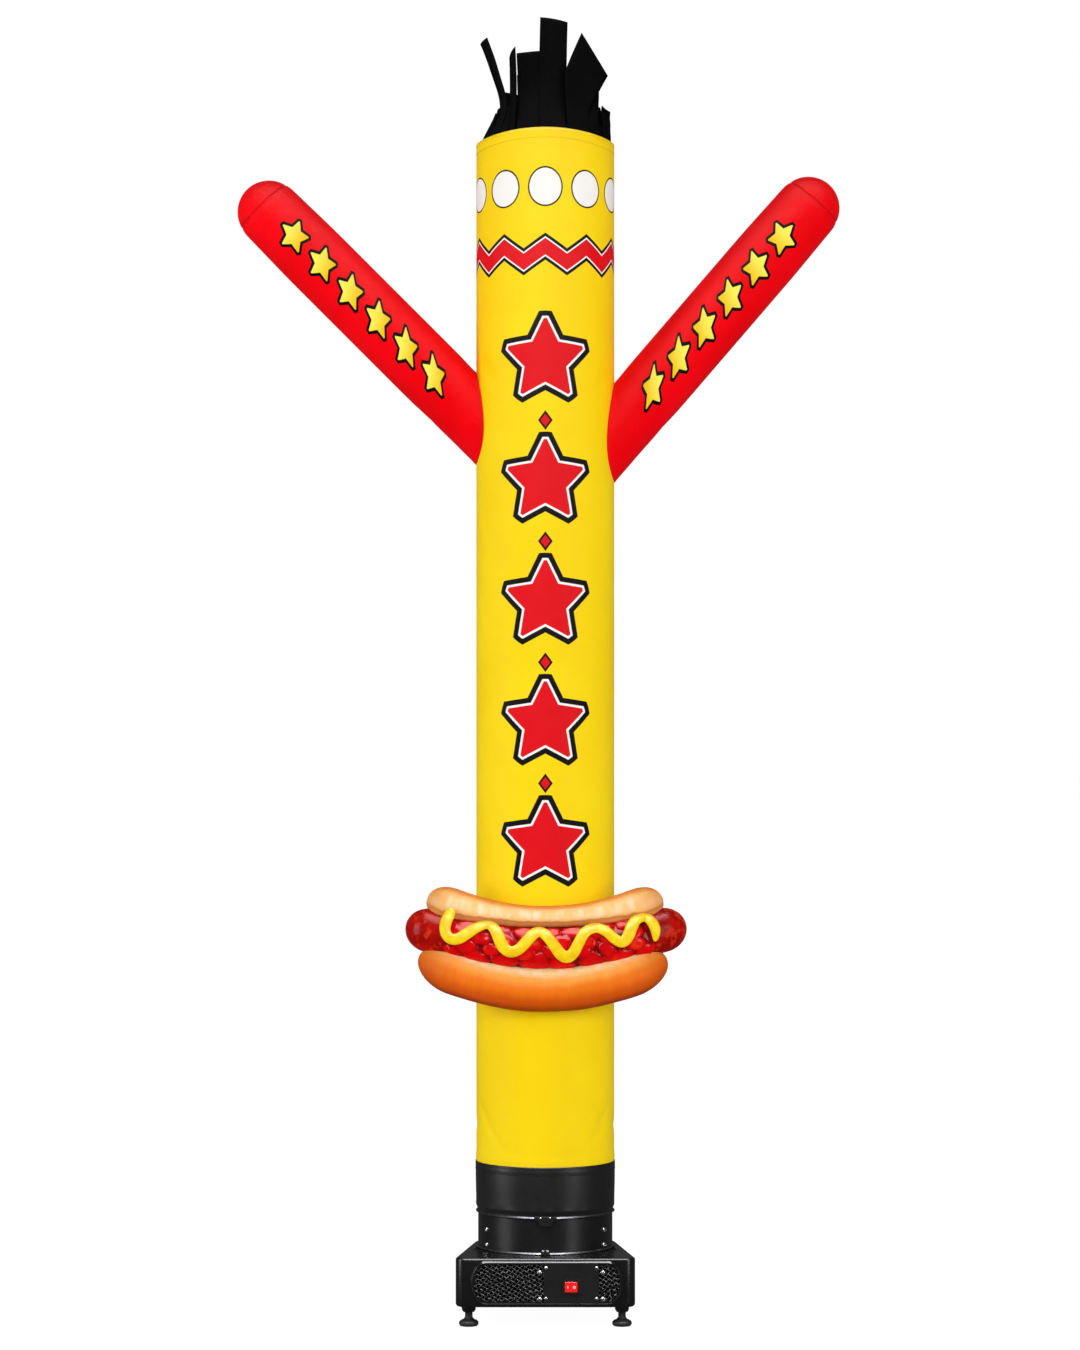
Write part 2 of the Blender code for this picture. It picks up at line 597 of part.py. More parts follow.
def crease_depth(bearing, z):
    """How far the creases draw the tube's wall in, at a bearing from the front."""
    total = 0.0
    for crease in CREASES:
        turn = math.remainder(bearing - math.radians(crease["at"]), 2 * math.pi)
        across, up = turn * TUBE_R, z - crease["z"]
        slant = math.radians(crease["slant"])
        along = across * math.cos(slant) + up * math.sin(slant)
        aside = -across * math.sin(slant) + up * math.cos(slant)
        total += crease["deep"] * math.exp(-(along / crease["long"]) ** 2
                                           - (aside / crease["wide"]) ** 2)
    return total


def rim_shift(bearing, z):
    rise = smooth_step((z - RIM_RISE_FROM) / (TUBE_TOP - RIM_RISE_FROM))
    return RIM_RISE * math.cos(bearing) ** 2 * rise


def make_tube(finish):
    outer = [(TUBE_R, z) for z in TUBE_ROWS]
    inner = [(TUBE_R - CLOTH, z) for z in reversed(TUBE_ROWS)]
    bm = spin_profile(outer + inner)
    for vert in bm.verts:
        bearing = math.atan2(vert.co.x, -vert.co.y)
        radius = math.hypot(vert.co.x, vert.co.y)
        if vert.co.z > CUFF_TOP + 0.001:
            drawn = 1 - crease_depth(bearing, vert.co.z) / radius
            vert.co.x *= drawn
            vert.co.y *= drawn
        vert.co.z += rim_shift(bearing, vert.co.z)
    tube = to_object(bm, "body_tube", finish["yellow"])
    for name, arm in ARMS.items():
        boolean(tube, round_cutter("port_" + name, PORT_R, *PORT_CUT, ARM_STEPS,
                                   at=arm_root(arm), axis=arm_axis(arm)))


# ---------------------------------------------------------------- arms
def arm_axis(arm):
    rise = math.radians(arm["rise"])
    return Vector((arm["side"] * math.cos(rise), 0, math.sin(rise)))


def arm_root(arm):
    return Vector((arm["side"] * TUBE_R, 0, arm["root_z"]))


def arm_radius(arm, along):
    """Radius of an arm at a distance from its root: fullest midway, round at the far end."""
    past = max(along - arm["length"], 0.0)
    drawn = SEAM_DRAWN * math.exp(-((past - CAP_SEAM) / 0.006) ** 2) if past else 0.0
    full = (1 - ROOT_TAPER * smooth_step(1 - along / 0.14)
            - TIP_TAPER * smooth_step((along - arm["length"]) / 0.20 + 0.8))
    return full * math.sqrt(max(arm["radius"] ** 2 - past ** 2, 0.0)) - drawn


def make_arm(name, arm, finish):
    """Sleeve of an arm, open at its root over the tube's port, and its end cap."""
    seam = arm["length"] + CAP_SEAM
    stations = (SLEEVE_START, 0.03, 0.14, 0.30, 0.46, 0.60, arm["length"],
                arm["length"] + CAP_SEAM * 0.6, seam - GAP / 2)
    outer = [(arm_radius(arm, along), along) for along in stations]
    inner = [(radius - CLOTH, along) for radius, along in reversed(outer)]
    sleeve = turned_arm("arm_" + name, outer + inner, arm, finish["red"], closed=True)
    boolean(sleeve, tube_cutter("tube_under_arm_" + name))

    turns = [math.asin(CAP_SEAM / arm["radius"]) + (math.pi / 2 - math.asin(
        CAP_SEAM / arm["radius"])) * step / 5 for step in range(6)]
    outside = [(arm_radius(arm, arm["length"] + arm["radius"] * math.sin(turn)),
                arm["length"] + arm["radius"] * math.sin(turn)) for turn in turns]
    outside[0] = (outside[0][0], seam + GAP / 2)
    outside[-1] = (0.0, arm["length"] + arm["radius"])
    shrink = (arm["radius"] - CLOTH) / arm["radius"]
    inside = [(radius - CLOTH if index == 0 else radius * shrink,
               along if index == 0 else arm["length"] + (along - arm["length"]) * shrink)
              for index, (radius, along) in enumerate(outside)]
    turned_arm("arm_cap_" + name, outside[::-1] + inside, arm, finish["red"], closed=False)


def turned_arm(name, profile, arm, finish, closed):
    bm = spin_profile(profile, ARM_STEPS, closed=closed)
    made = to_object(bm, name, finish, at=arm_root(arm))
    made.rotation_mode = "QUATERNION"
    made.rotation_quaternion = Vector((0, 0, 1)).rotation_difference(arm_axis(arm))
    return made


def tube_cutter(name, clear=GAP):
    """The tube's outside, grown a little, to trim what is sewn onto it."""
    return round_cutter(name, TUBE_R + clear, TUBE_BOTTOM, TUBE_TOP)


# ---------------------------------------------------------------- strips on the head
HAIR_R, HAIR_THICK = 0.1515, 0.0012
HAIR_LOW, HAIR_ROOT = 2.560, 2.600      # backing ring, before the rim's rise
HAIR_FIRST = -5.0                       # bearing of the first strip's left edge
HAIR_LEAN_HEIGHT = 0.090                # height at which a strip has leant in
HAIR_LEVELS = 6

# one row a strip, from the front round by the right side; degrees and millimetres:
# wide | height and sideways shift of its left and right top corners | lean to the axis
HAIR = (
    dict(wide=23.5, left=(257, 5), right=(249, 4), lean=34),
    dict(wide=22.0, left=(227, 42), right=(143, 55), lean=14),
    dict(wide=14.0, left=(112, 8), right=(106, 12), lean=18),
    dict(wide=17.0, left=(80, 0), right=(70, 2), lean=3),
    dict(wide=18.0, left=(86, -4), right=(78, 0), lean=40),
    dict(wide=18.5, left=(96, 4), right=(104, 8), lean=24),
    dict(wide=18.0, left=(138, 0), right=(126, 4), lean=46),
    dict(wide=19.0, left=(158, -6), right=(166, -4), lean=30),
    dict(wide=19.0, left=(172, 0), right=(160, 6), lean=50),
    dict(wide=19.0, left=(168, 4), right=(178, 0), lean=26),
    dict(wide=17.5, left=(176, 8), right=(164, 6), lean=48),
    dict(wide=18.0, left=(126, 4), right=(134, 8), lean=30),
    dict(wide=18.0, left=(94, 0), right=(86, 4), lean=50),
    dict(wide=17.5, left=(82, 4), right=(90, 6), lean=34),
    dict(wide=17.0, left=(76, 0), right=(82, 4), lean=58),
    dict(wide=18.0, left=(54, 8), right=(84, 4), lean=52),
    dict(wide=7.0, left=(226, -64), right=(236, -60), lean=26),
    dict(wide=13.0, left=(88, 0), right=(80, 3), lean=46),
    dict(wide=7.0, left=(176, -6), right=(198, -9), lean=20),
    dict(wide=20.2, left=(180, -7), right=(185, -5), lean=36),
)


def strip_point(strip, bearings, right, inner, rise):
    """A corner of a strip's section, at a share of its height."""
    own = bearings[right]
    middle = sum(bearings) / 2
    top, shift = strip["right" if right else "left"]
    height = top * MM * rise
    leant = math.sin(min(height / HAIR_LEAN_HEIGHT, 1.0) * math.pi / 2)
    inward = strip["lean"] * MM * leant
    radius = HAIR_R - (HAIR_THICK if inner else 0.0)
    facing = Vector((math.sin(middle), -math.cos(middle), 0))
    beside = Vector((math.cos(middle), math.sin(middle), 0))
    root = Vector((math.sin(own), -math.cos(own), 0)) * radius
    z = HAIR_ROOT + RIM_RISE * math.cos(own) ** 2 + height
    return root - facing * inward + beside * (shift * MM * rise ** 2.2) + Vector((0, 0, z))


def make_hair(finish):
    """Backing ring sewn inside the rim, and the strips that stand up from it."""
    spare = (360 - sum(strip["wide"] for strip in HAIR)) / len(HAIR)
    start = math.radians(HAIR_FIRST)
    bm = bmesh.new()
    corners = ((HAIR_R, HAIR_LOW), (HAIR_R, HAIR_ROOT), (HAIR_R - HAIR_THICK, HAIR_ROOT),
               (HAIR_R - HAIR_THICK, HAIR_LOW))
    verts = [bm.verts.new((r * math.sin(start), -r * math.cos(start), z)) for r, z in corners]
    edges = [bm.edges.new(pair) for pair in zip(verts, verts[1:] + verts[:1])]
    section = verts + edges
    bearing = start
    tops = []
    for strip in HAIR:
        for turn, is_strip in ((math.radians(strip["wide"]), True), (math.radians(spare), False)):
            known = set(bm.faces)
            section = bmesh.ops.spin(bm, geom=section, cent=(0, 0, 0), axis=(0, 0, 1),
                                     angle=turn, steps=1)["geom_last"]
            if is_strip:
                top = next(face for face in bm.faces if face not in known
                           and min(v.co.z for v in face.verts) > HAIR_ROOT - 0.001)
                tops.append((strip, (bearing, bearing + turn), top))
            bearing += turn
    for strip, bearings, face in tops:
        raise_strip(bm, strip, bearings, face)
    for vert in bm.verts:
        if vert.co.z < HAIR_ROOT + 0.0001:
            vert.co.z += RIM_RISE * (vert.co.y / math.hypot(vert.co.x, vert.co.y)) ** 2
    to_object(bm, "hair_strips", finish["black"])


def raise_strip(bm, strip, bearings, face):
    """Extrude one strip from its root, a level at a time."""
    middle = sum(bearings) / 2
    roles = []
    for vert in face.verts:
        turn = math.remainder(math.atan2(vert.co.x, -vert.co.y) - middle, 2 * math.pi)
        roles.append((turn > 0, math.hypot(vert.co.x, vert.co.y) < HAIR_R - HAIR_THICK / 2))
    for level in range(1, HAIR_LEVELS + 1):
        face = bmesh.ops.extrude_discrete_faces(bm, faces=[face])["faces"][0]
        for vert, (right, inner) in zip(face.verts, roles):
            vert.co = strip_point(strip, bearings, right, inner, level / HAIR_LEVELS)


# ---------------------------------------------------------------- hot dog
def dog_line(lobe, x):
    """Centre of a lobe at x: raised towards its ends and bowed back round the tube."""
    bow = DOG_BOW_R - math.sqrt(DOG_BOW_R ** 2 - x ** 2)
    return Vector((x, lobe["y"] + bow, lobe["z"] + lobe["rise"] * (x / lobe["at"]) ** 2))


def dog_frame(lobe, x):
    """Centre, and the lobe's own up and forward directions there."""
    step = 0.0005
    along = (dog_line(lobe, x + step) - dog_line(lobe, x - step)).normalized()
    forward = Vector((0, -1, 0))
    forward = (forward - along * forward.dot(along)).normalized()
    up = forward.cross(along)
    if up.z < 0:
        up = -up
    return dog_line(lobe, x), up, forward


def lobe_size(lobe, x):
    """Share of a lobe's full section at x: one, and round towards nothing at the ends."""
    short = 1 - min(min(x - lobe["left"], lobe["right"] - x) / lobe["end"], 1.0)
    return math.sqrt(max(1 - short * short, 0.0))


def make_lobe(name, lobe, finish, stations=20, around=14):
    """A stuffed lobe: elliptical sections along its line, drawn in at round ends."""
    bm = bmesh.new()
    middle = (lobe["left"] + lobe["right"]) / 2
    half = (lobe["right"] - lobe["left"]) / 2
    rings = []
    poles = []
    for station in range(stations + 1):
        x = middle - half * math.cos(math.pi * station / stations)
        centre, up, forward = dog_frame(lobe, x)
        if station in (0, stations):
            poles.append(bm.verts.new(centre))
            continue
        size = lobe_size(lobe, x)
        high = (lobe["high"] + lobe["swell"] * (x / lobe["at"]) ** 2) * size
        deep = lobe["deep"] * size
        ring = [bm.verts.new(centre + up * (high * math.cos(2 * math.pi * k / around))
                             + forward * (deep * math.sin(2 * math.pi * k / around)))
                for k in range(around)]
        rings.append(ring)
    loops = [[bm.edges.new(pair) for pair in zip(ring, ring[1:] + ring[:1])] for ring in rings]
    for one, other in zip(loops, loops[1:]):
        bmesh.ops.bridge_loops(bm, edges=one + other)
    for pole, ring in ((poles[0], rings[0]), (poles[1], rings[-1])):
        for pair in zip(ring, ring[1:] + ring[:1]):
            bm.faces.new((pole, *pair))
    return to_object(bm, name, finish)


def sausage_surface(x, turn, lift):
    """A point round the sausage's front: turn 0 is straight ahead, positive is up."""
    centre, up, forward = dog_frame(SAUSAGE, x)
    return (centre + up * ((SAUSAGE["high"] + lift) * math.sin(turn))
            + forward * ((SAUSAGE["deep"] + lift) * math.cos(turn)))


def relish_lift(x, turn):
    """Height of the relish over the sausage, in soft lumps."""
    waves = sum(share * math.cos(along * x + around * turn + phase)
                for along, around, phase, share in RELISH_WAVES)
    return RELISH_THICK * (0.58 + 0.16 * waves)


def make_relish(finish):
    """Lumpy relish along the sausage's front, between the two halves of the bun."""
    low, high = RELISH_TURNS
    columns, rows = 26, 5
    bm = bmesh.new()
    bmesh.ops.create_grid(bm, x_segments=columns, y_segments=rows, size=0.5)
    grown = bmesh.ops.extrude_face_region(bm, geom=list(bm.faces))["geom"]
    outside = {item for item in grown if isinstance(item, bmesh.types.BMVert)}
    for vert in bm.verts:
        x = RELISH_SPAN[0] + (RELISH_SPAN[1] - RELISH_SPAN[0]) * (vert.co.x + 0.5)
        turn = low + (high - low) * (vert.co.y + 0.5)
        edge = min(0.5 - abs(vert.co.x), 0.5 - abs(vert.co.y))
        lift = GAP + (relish_lift(x, turn) * (0.25 + 0.75 * smooth_step(edge / 0.12))
                      if vert in outside else 0.0)
        vert.co = sausage_surface(x, turn, lift)
    return to_object(bm, "relish", finish["relish"])


# route of the mustard, in millimetres: x, and height over the sausage's centre line
MUSTARD = (
    (-215, 52), (-205, 19), (-194, 2), (-180, -3), (-152, 23), (-123, 40), (-93, 16),
    (-71, -12), (-57, -10), (-29, 21), (-6, 34), (14, 13), (37, -20), (50, -18), (74, 19),
    (101, 36), (122, 28), (146, 2), (160, -4), (181, 21), (205, 39), (222, 12), (220, -7),
)


def through(points, steps):
    """Smooth curve through points, as a Catmull-Rom run."""
    padded = [points[0] * 2 - points[1], *points, points[-1] * 2 - points[-2]]
    run = []
    for a, b, c, d in zip(padded, padded[1:], padded[2:], padded[3:]):
        for step in range(steps):
            t = step / steps
            run.append(0.5 * (2 * b + (c - a) * t + (2 * a - 5 * b + 4 * c - d) * t * t
                              + (3 * b - a - 3 * c + d) * t ** 3))
    run.append(points[-1])
    return run


def mustard_place(x, up):
    """Where the mustard lies on the relish or the bun, with the direction out of it."""
    turn = math.asin(max(-1, min(1, up / (SAUSAGE["high"] + RELISH_THICK))))
    lift = MUSTARD_SEAT + MUSTARD_THICK
    here = sausage_surface(x, turn, lift)
    out = (sausage_surface(x, turn, lift + 0.001) - here).normalized()
    over_bun = here.y - bun_front(here) + MUSTARD_THICK + BUN_CLEAR
    if over_bun > 0:
        here.y -= over_bun
        out = out.lerp(dog_frame(BUN_UPPER, x)[2], min(over_bun / BUN_CLEAR, 1.0)).normalized()
    return here, out


def bun_front(spot):
    """How far forward the upper half of the bun stands at a spot's place and height."""
    centre = dog_line(BUN_UPPER, spot.x)
    size = lobe_size(BUN_UPPER, spot.x)
    high = BUN_UPPER["high"] + BUN_UPPER["swell"] * (spot.x / BUN_UPPER["at"]) ** 2
    share = (spot.z - centre.z) / (high * size)
    return centre.y - BUN_UPPER["deep"] * size * math.sqrt(max(1 - share * share, 0.0))


def make_mustard(finish):
    """A flattened bead along its zigzag, laid over the relish."""
    route = through([Vector(row) * MM for row in MUSTARD], 3)
    spots = [mustard_place(point.x, point.y) for point in route]
    bm = bmesh.new()
    rings = []
    sides = 6
    for index, (here, out) in enumerate(spots):
        before, after = spots[max(index - 1, 0)][0], spots[min(index + 1, len(spots) - 1)][0]
        along = (after - before).normalized()
        beside = along.cross(out).normalized()
        end = 0.5 if index in (0, len(spots) - 1) else 1.0
        rings.append([bm.verts.new(
            here + beside * (MUSTARD_WIDE * end * math.cos(2 * math.pi * k / sides))
            + out * (MUSTARD_THICK * end * math.sin(2 * math.pi * k / sides)))
            for k in range(sides)])
    loops = [[bm.edges.new(pair) for pair in zip(ring, ring[1:] + ring[:1])] for ring in rings]
    for one, other in zip(loops, loops[1:]):
        bmesh.ops.bridge_loops(bm, edges=one + other)
    bm.faces.new(rings[0])
    bm.faces.new(rings[-1])
    to_object(bm, "mustard", finish["mustard"])


def make_hot_dog(finish):
    sausage = make_lobe("sausage", SAUSAGE, finish["sausage"])
    lower = make_lobe("bun_lower", BUN_LOWER, finish["crust"])
    upper = make_lobe("bun_upper", BUN_UPPER, finish["crumb"])
    relish = make_relish(finish)
    around_sausage = thickened(sausage, GAP * 1.5, "sausage_clearance")
    tube = tube_cutter("tube_behind_hot_dog")
    boolean(relish, thickened(lower, GAP * 1.5, "bun_lower_clearance"))
    boolean(relish, thickened(upper, GAP * 1.5, "bun_upper_clearance"))
    for lobe in (lower, upper, relish):
        boolean(lobe, around_sausage)
    for lobe in (sausage, lower, upper):
        boolean(lobe, tube)
    make_mustard(finish)


# ---------------------------------------------------------------- the whole object
def main():
    clear_scene()
    finish = make_materials()
    make_housing(finish)
    make_inlet(finish)
    make_panel(finish)
    make_switch(finish)
    make_feet(finish)
    make_gland(finish)
    make_drum(finish)
    make_hoops(finish)
    make_cuff(finish)
    make_tube(finish)
    for name, arm in ARMS.items():
        make_arm(name, arm, finish)
    make_hair(finish)
    make_hot_dog(finish)


main()
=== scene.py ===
# %% [markdown]
# # An inflatable air dancer on its blower
# A black blower fills a tall yellow nylon tube with air. The tube carries two red
# arms, a crop of black nylon strips on its head and a stuffed hot dog in front.
# The solids already say where each piece is. This lesson dresses them: cloth gets
# its folds, seams and print, and hard pieces get their finer shape and finish.

# %% Load the solids as a fixed frame
import math
import random

import bmesh
import bpy
from mathutils import Matrix, Vector, noise


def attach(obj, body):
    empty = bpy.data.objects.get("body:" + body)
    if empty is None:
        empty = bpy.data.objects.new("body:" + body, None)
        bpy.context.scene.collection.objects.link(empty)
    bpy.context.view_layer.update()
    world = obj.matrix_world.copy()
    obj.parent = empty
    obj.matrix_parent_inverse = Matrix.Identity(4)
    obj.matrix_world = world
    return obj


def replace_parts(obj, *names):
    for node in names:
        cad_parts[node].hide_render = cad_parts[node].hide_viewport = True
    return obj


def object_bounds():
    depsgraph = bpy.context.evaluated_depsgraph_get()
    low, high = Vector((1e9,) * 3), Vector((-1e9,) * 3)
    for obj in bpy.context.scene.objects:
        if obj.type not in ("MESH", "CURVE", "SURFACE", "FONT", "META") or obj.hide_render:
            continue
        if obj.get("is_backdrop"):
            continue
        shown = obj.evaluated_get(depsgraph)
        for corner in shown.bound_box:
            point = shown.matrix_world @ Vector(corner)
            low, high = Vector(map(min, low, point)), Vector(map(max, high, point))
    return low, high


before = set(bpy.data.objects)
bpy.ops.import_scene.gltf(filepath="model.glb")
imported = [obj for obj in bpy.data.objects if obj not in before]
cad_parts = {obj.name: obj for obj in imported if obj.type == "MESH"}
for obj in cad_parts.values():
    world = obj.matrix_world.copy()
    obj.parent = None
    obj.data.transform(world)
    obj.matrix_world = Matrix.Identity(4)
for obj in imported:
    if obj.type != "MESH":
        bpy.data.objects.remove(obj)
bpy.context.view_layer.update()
MM = 0.001

# %% [markdown]
# ## Camera and studio
# A long lens from nine metres away keeps the tube's sides upright. The camera looks
# level, at half the dancer's height, so no line leans. Its sensor is as tall as the
# frame's long side.

# %% Camera
CAMERA_AWAY = 9.0
CAMERA_PLACE = Vector((-0.0118, -CAMERA_AWAY, 1.427))
VIEW_TALL = 3.0164           # metres seen from top to bottom, in the dancer's plane
SENSOR = 36.0
camera_data = bpy.data.cameras.new("studio_camera")
camera_data.sensor_width = SENSOR
camera_data.lens = SENSOR * CAMERA_AWAY / VIEW_TALL
camera_data.clip_end = 200.0
camera = bpy.data.objects.new("studio_camera", camera_data)
camera.location = CAMERA_PLACE
camera.rotation_euler = (math.radians(90), 0, 0)
bpy.context.scene.collection.objects.link(camera)
bpy.context.scene.camera = camera
bpy.context.scene.view_settings.view_transform = "Standard"
print("lens %.1f mm" % camera_data.lens)

# %% [markdown]
# Soft light comes from big panels. Two tall ones stand in front, to the right and to
# the left, a broad one further away fills what they leave dark, and one behind lights
# the back. Black plastic shows only what it mirrors, so a panel may light without
# being mirrored, or be mirrored without lighting. The one overhead is only mirrored:
# it draws the bright lines along the top edges of hoops and housing. A small one,
# high in front, gives what faces it its short highlights.

# %% Light panels
AIM = Vector((0, 0, 1.2))


def light_panel(name, bearing, away, height, wide, tall, power, aim=AIM,
                mirrored=True, lighting=True):
    """A rectangular light at a bearing from the front, turned to its aim."""
    data = bpy.data.lights.new(name, "AREA")
    data.shape = "RECTANGLE"
    data.size, data.size_y, data.energy = wide, tall, power
    lamp = bpy.data.objects.new(name, data)
    turn = math.radians(bearing)
    lamp.location = (away * math.sin(turn), -away * math.cos(turn), height)
    lamp.rotation_euler = (aim - lamp.location).to_track_quat("-Z", "Y").to_euler()
    lamp.visible_glossy, lamp.visible_diffuse = mirrored, lighting
    bpy.context.scene.collection.objects.link(lamp)
    return lamp


light_panel("panel_right", 47, 5.0, 1.6, 0.9, 3.4, 75)
light_panel("panel_left", -72, 5.0, 1.6, 1.6, 3.6, 100)
light_panel("panel_front", 0, 10.5, 3.4, 5.0, 4.0, 390, mirrored=False)
light_panel("panel_top", 0, 1.4, 4.4, 4.6, 3.4, 640, aim=Vector((0, 0, 0.6)),
            lighting=False)
light_panel("panel_small", -14, 8.0, 4.6, 1.8, 1.1, 200, lighting=False)
light_panel("panel_back", 180, 6.0, 2.6, 4.0, 3.0, 80, mirrored=False)

# %% [markdown]
# The air around is white where the camera sees it, softer where it lights the dancer,
# and dark where plastic would mirror it, so that black pieces keep their depth. The
# kind of ray chooses between the three.

# %% Air
AIR_LIT, AIR_MIRRORED, AIR_SEEN = 0.42, 0.09, 1.0
world = bpy.data.worlds.new("studio_air")
bpy.context.scene.world = world
world.use_nodes = True
air = world.node_tree
air.nodes.clear()
rays = air.nodes.new("ShaderNodeLightPath")
air_out = air.nodes.new("ShaderNodeOutputWorld")


def air_light(strength):
    """White light of one strength, from all round."""
    made = air.nodes.new("ShaderNodeBackground")
    made.inputs["Color"].default_value = (1, 1, 1, 1)
    made.inputs["Strength"].default_value = strength
    return made.outputs[0]


light = air_light(AIR_LIT)
for ray, strength in (("Is Glossy Ray", AIR_MIRRORED), ("Is Camera Ray", AIR_SEEN)):
    choose = air.nodes.new("ShaderNodeMixShader")
    air.links.new(rays.outputs[ray], choose.inputs[0])
    air.links.new(light, choose.inputs[1])
    air.links.new(air_light(strength), choose.inputs[2])
    light = choose.outputs[0]
air.links.new(light, air_out.inputs[0])
print("air: lights with %.2f, mirrored as %.2f, seen as %.2f" % (
    AIR_LIT, AIR_MIRRORED, AIR_SEEN))

# %% [markdown]
# The floor is a white card that glows almost as bright as the air, so its far edge
# does not show. It catches a faint shadow, and it neither lights nor shows in the
# pieces above it.

# %% Floor
FLOOR_HALF, FLOOR_DROP = 60, 0.0004
floor_bm = bmesh.new()
bmesh.ops.create_grid(floor_bm, x_segments=1, y_segments=1, size=FLOOR_HALF)
bmesh.ops.translate(floor_bm, verts=floor_bm.verts, vec=(0, 0, -FLOOR_DROP))
floor_mesh = bpy.data.meshes.new("studio_floor")
floor_bm.to_mesh(floor_mesh)
floor_bm.free()
floor = bpy.data.objects.new("studio_floor", floor_mesh)
bpy.context.scene.collection.objects.link(floor)
floor_paint = bpy.data.materials.new("studio_floor_paint")
floor_paint.use_nodes = True
paint = floor_paint.node_tree.nodes["Principled BSDF"]
paint.inputs["Base Color"].default_value = (0.10, 0.10, 0.10, 1)
paint.inputs["Roughness"].default_value = 0.9
paint.inputs["Specular IOR Level"].default_value = 0.0
paint.inputs["Emission Color"].default_value = (1, 1, 1, 1)
paint.inputs["Emission Strength"].default_value = 0.97
floor_mesh.materials.append(floor_paint)
floor.visible_diffuse = floor.visible_glossy = False
floor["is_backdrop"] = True
print("floor at z = %.4f" % floor_mesh.vertices[0].co.z)

# %% [markdown]
# ## Short ways to make finishes
# A finish is one Principled shader with a few nodes in front of it. Two short classes
# make those nodes readable. The first one wires nodes, whether a value is a number or
# comes out of another node.

# %% A helper for nodes
class Nodes:
    """The nodes of one material, and short ways to add plain ones."""

    def __init__(self, name):
        self.material = bpy.data.materials.new(name)
        self.material.use_nodes = True
        self.tree = self.material.node_tree
        self.shader = self.tree.nodes["Principled BSDF"]

    def wire(self, source, socket):
        """Link an output to a socket, or set the socket's own value."""
        if isinstance(source, bpy.types.NodeSocket):
            self.tree.links.new(source, socket)
        elif source is not None:
            rgb = socket.type == "RGBA" and len(source) == 3
            socket.default_value = (*source, 1.0) if rgb else source

    def node(self, kind, *values, out=0, **settings):
        made = self.tree.nodes.new("ShaderNode" + kind)
        for label, value in settings.items():
            setattr(made, label, value)
        for socket, value in zip(made.inputs, values):
            self.wire(value, socket)
        return made.outputs[out]

    def math(self, operation, *values):
        return self.node("Math", *values, operation=operation)

    def across(self, source):
        """The three parts of a place."""
        made = self.tree.nodes.new("ShaderNodeSeparateXYZ")
        self.wire(source, made.inputs[0])
        return made.outputs

    def stretched(self, source, *scale):
        """A place scaled along each axis."""
        return self.node("VectorMath", source, scale, operation="MULTIPLY")


print("node helper:", [name for name in vars(Nodes) if not name.startswith("_")])

# %% [markdown]
# The second class is the finish itself: its patterns, its colour and its relief.
# Patterns read the object's own coordinates in metres. Cloth also has a UV map in
# metres, so that prints follow its surface. Each relief lies on the last one.

# %% A helper for finishes
class Finish(Nodes):
    """One material: a Principled shader with patterns, a colour and a relief."""

    def __init__(self, name, roughness, **settings):
        super().__init__(name)
        self.shader.inputs["Roughness"].default_value = roughness
        for label, value in settings.items():
            self.wire(value, self.shader.inputs[label.replace("_", " ")])
        place = self.tree.nodes.new("ShaderNodeTexCoord")
        self.spot, self.cloth = place.outputs["Object"], place.outputs["UV"]
        self.last_bump = None

    def cloud(self, scale, source=None, detail=3.0, rough=0.55):
        """A cloudy value about one half, with so many blobs a metre."""
        made = self.tree.nodes.new("ShaderNodeTexNoise")
        self.wire(source or self.spot, made.inputs["Vector"])
        made.inputs["Scale"].default_value = scale
        made.inputs["Detail"].default_value = detail
        made.inputs["Roughness"].default_value = rough
        return made.outputs["Fac"]

    def between(self, value, low, high, start=0.0, end=1.0):
        """Start below low, end above high, and smooth between them."""
        return self.node("MapRange", value, low, high, start, end,
                         interpolation_type="SMOOTHSTEP")

    def blend(self, share, one, other):
        """A colour between two, by a share from 0 to 1."""
        made = self.tree.nodes.new("ShaderNodeMix")
        made.data_type = "RGBA"
        for index, value in ((0, share), (6, one), (7, other)):
            self.wire(value, made.inputs[index])
        return made.outputs[2]

    def colour(self, value):
        self.wire(value, self.shader.inputs["Base Color"])
        return self

    def rough(self, value):
        self.wire(value, self.shader.inputs["Roughness"])
        return self

    def bump(self, height, depth, strength=1.0):
        """Relief whose value from 0 to 1 stands for a depth in metres."""
        made = self.tree.nodes.new("ShaderNodeBump")
        self.wire(height, made.inputs["Height"])
        made.inputs["Distance"].default_value = depth
        made.inputs["Strength"].default_value = strength
        if self.last_bump:
            self.tree.links.new(self.last_bump, made.inputs["Normal"])
        self.last_bump = made.outputs[0]
        self.wire(self.last_bump, self.shader.inputs["Normal"])
        return self


print("finish helper:", [name for name in vars(Finish) if not name.startswith("_")])

# %% [markdown]
# Colours are easier to choose as screen values. A shader works in linear light, so
# each value is turned once, by the standard curve.

# %% Colours from screen values
def from_screen(red, green, blue):
    """A colour given as screen values from 0 to 255, in the linear values of a shader."""
    return tuple((c / 255 / 12.92 if c <= 10 else ((c / 255 + 0.055) / 1.055) ** 2.4)
                 for c in (red, green, blue))


print("yellow in linear values:", [round(c, 3) for c in from_screen(255, 225, 50)])

# %% [markdown]
# ## Short ways to make pieces
# Each piece is built in a bmesh, then put in an object that stays at the origin, with
# its place in its mesh. Doubles are merged before the faces are turned outwards,
# because a seam that is still open can turn a whole shell inside out.

# %% Helpers for pieces
BODY = "blower"


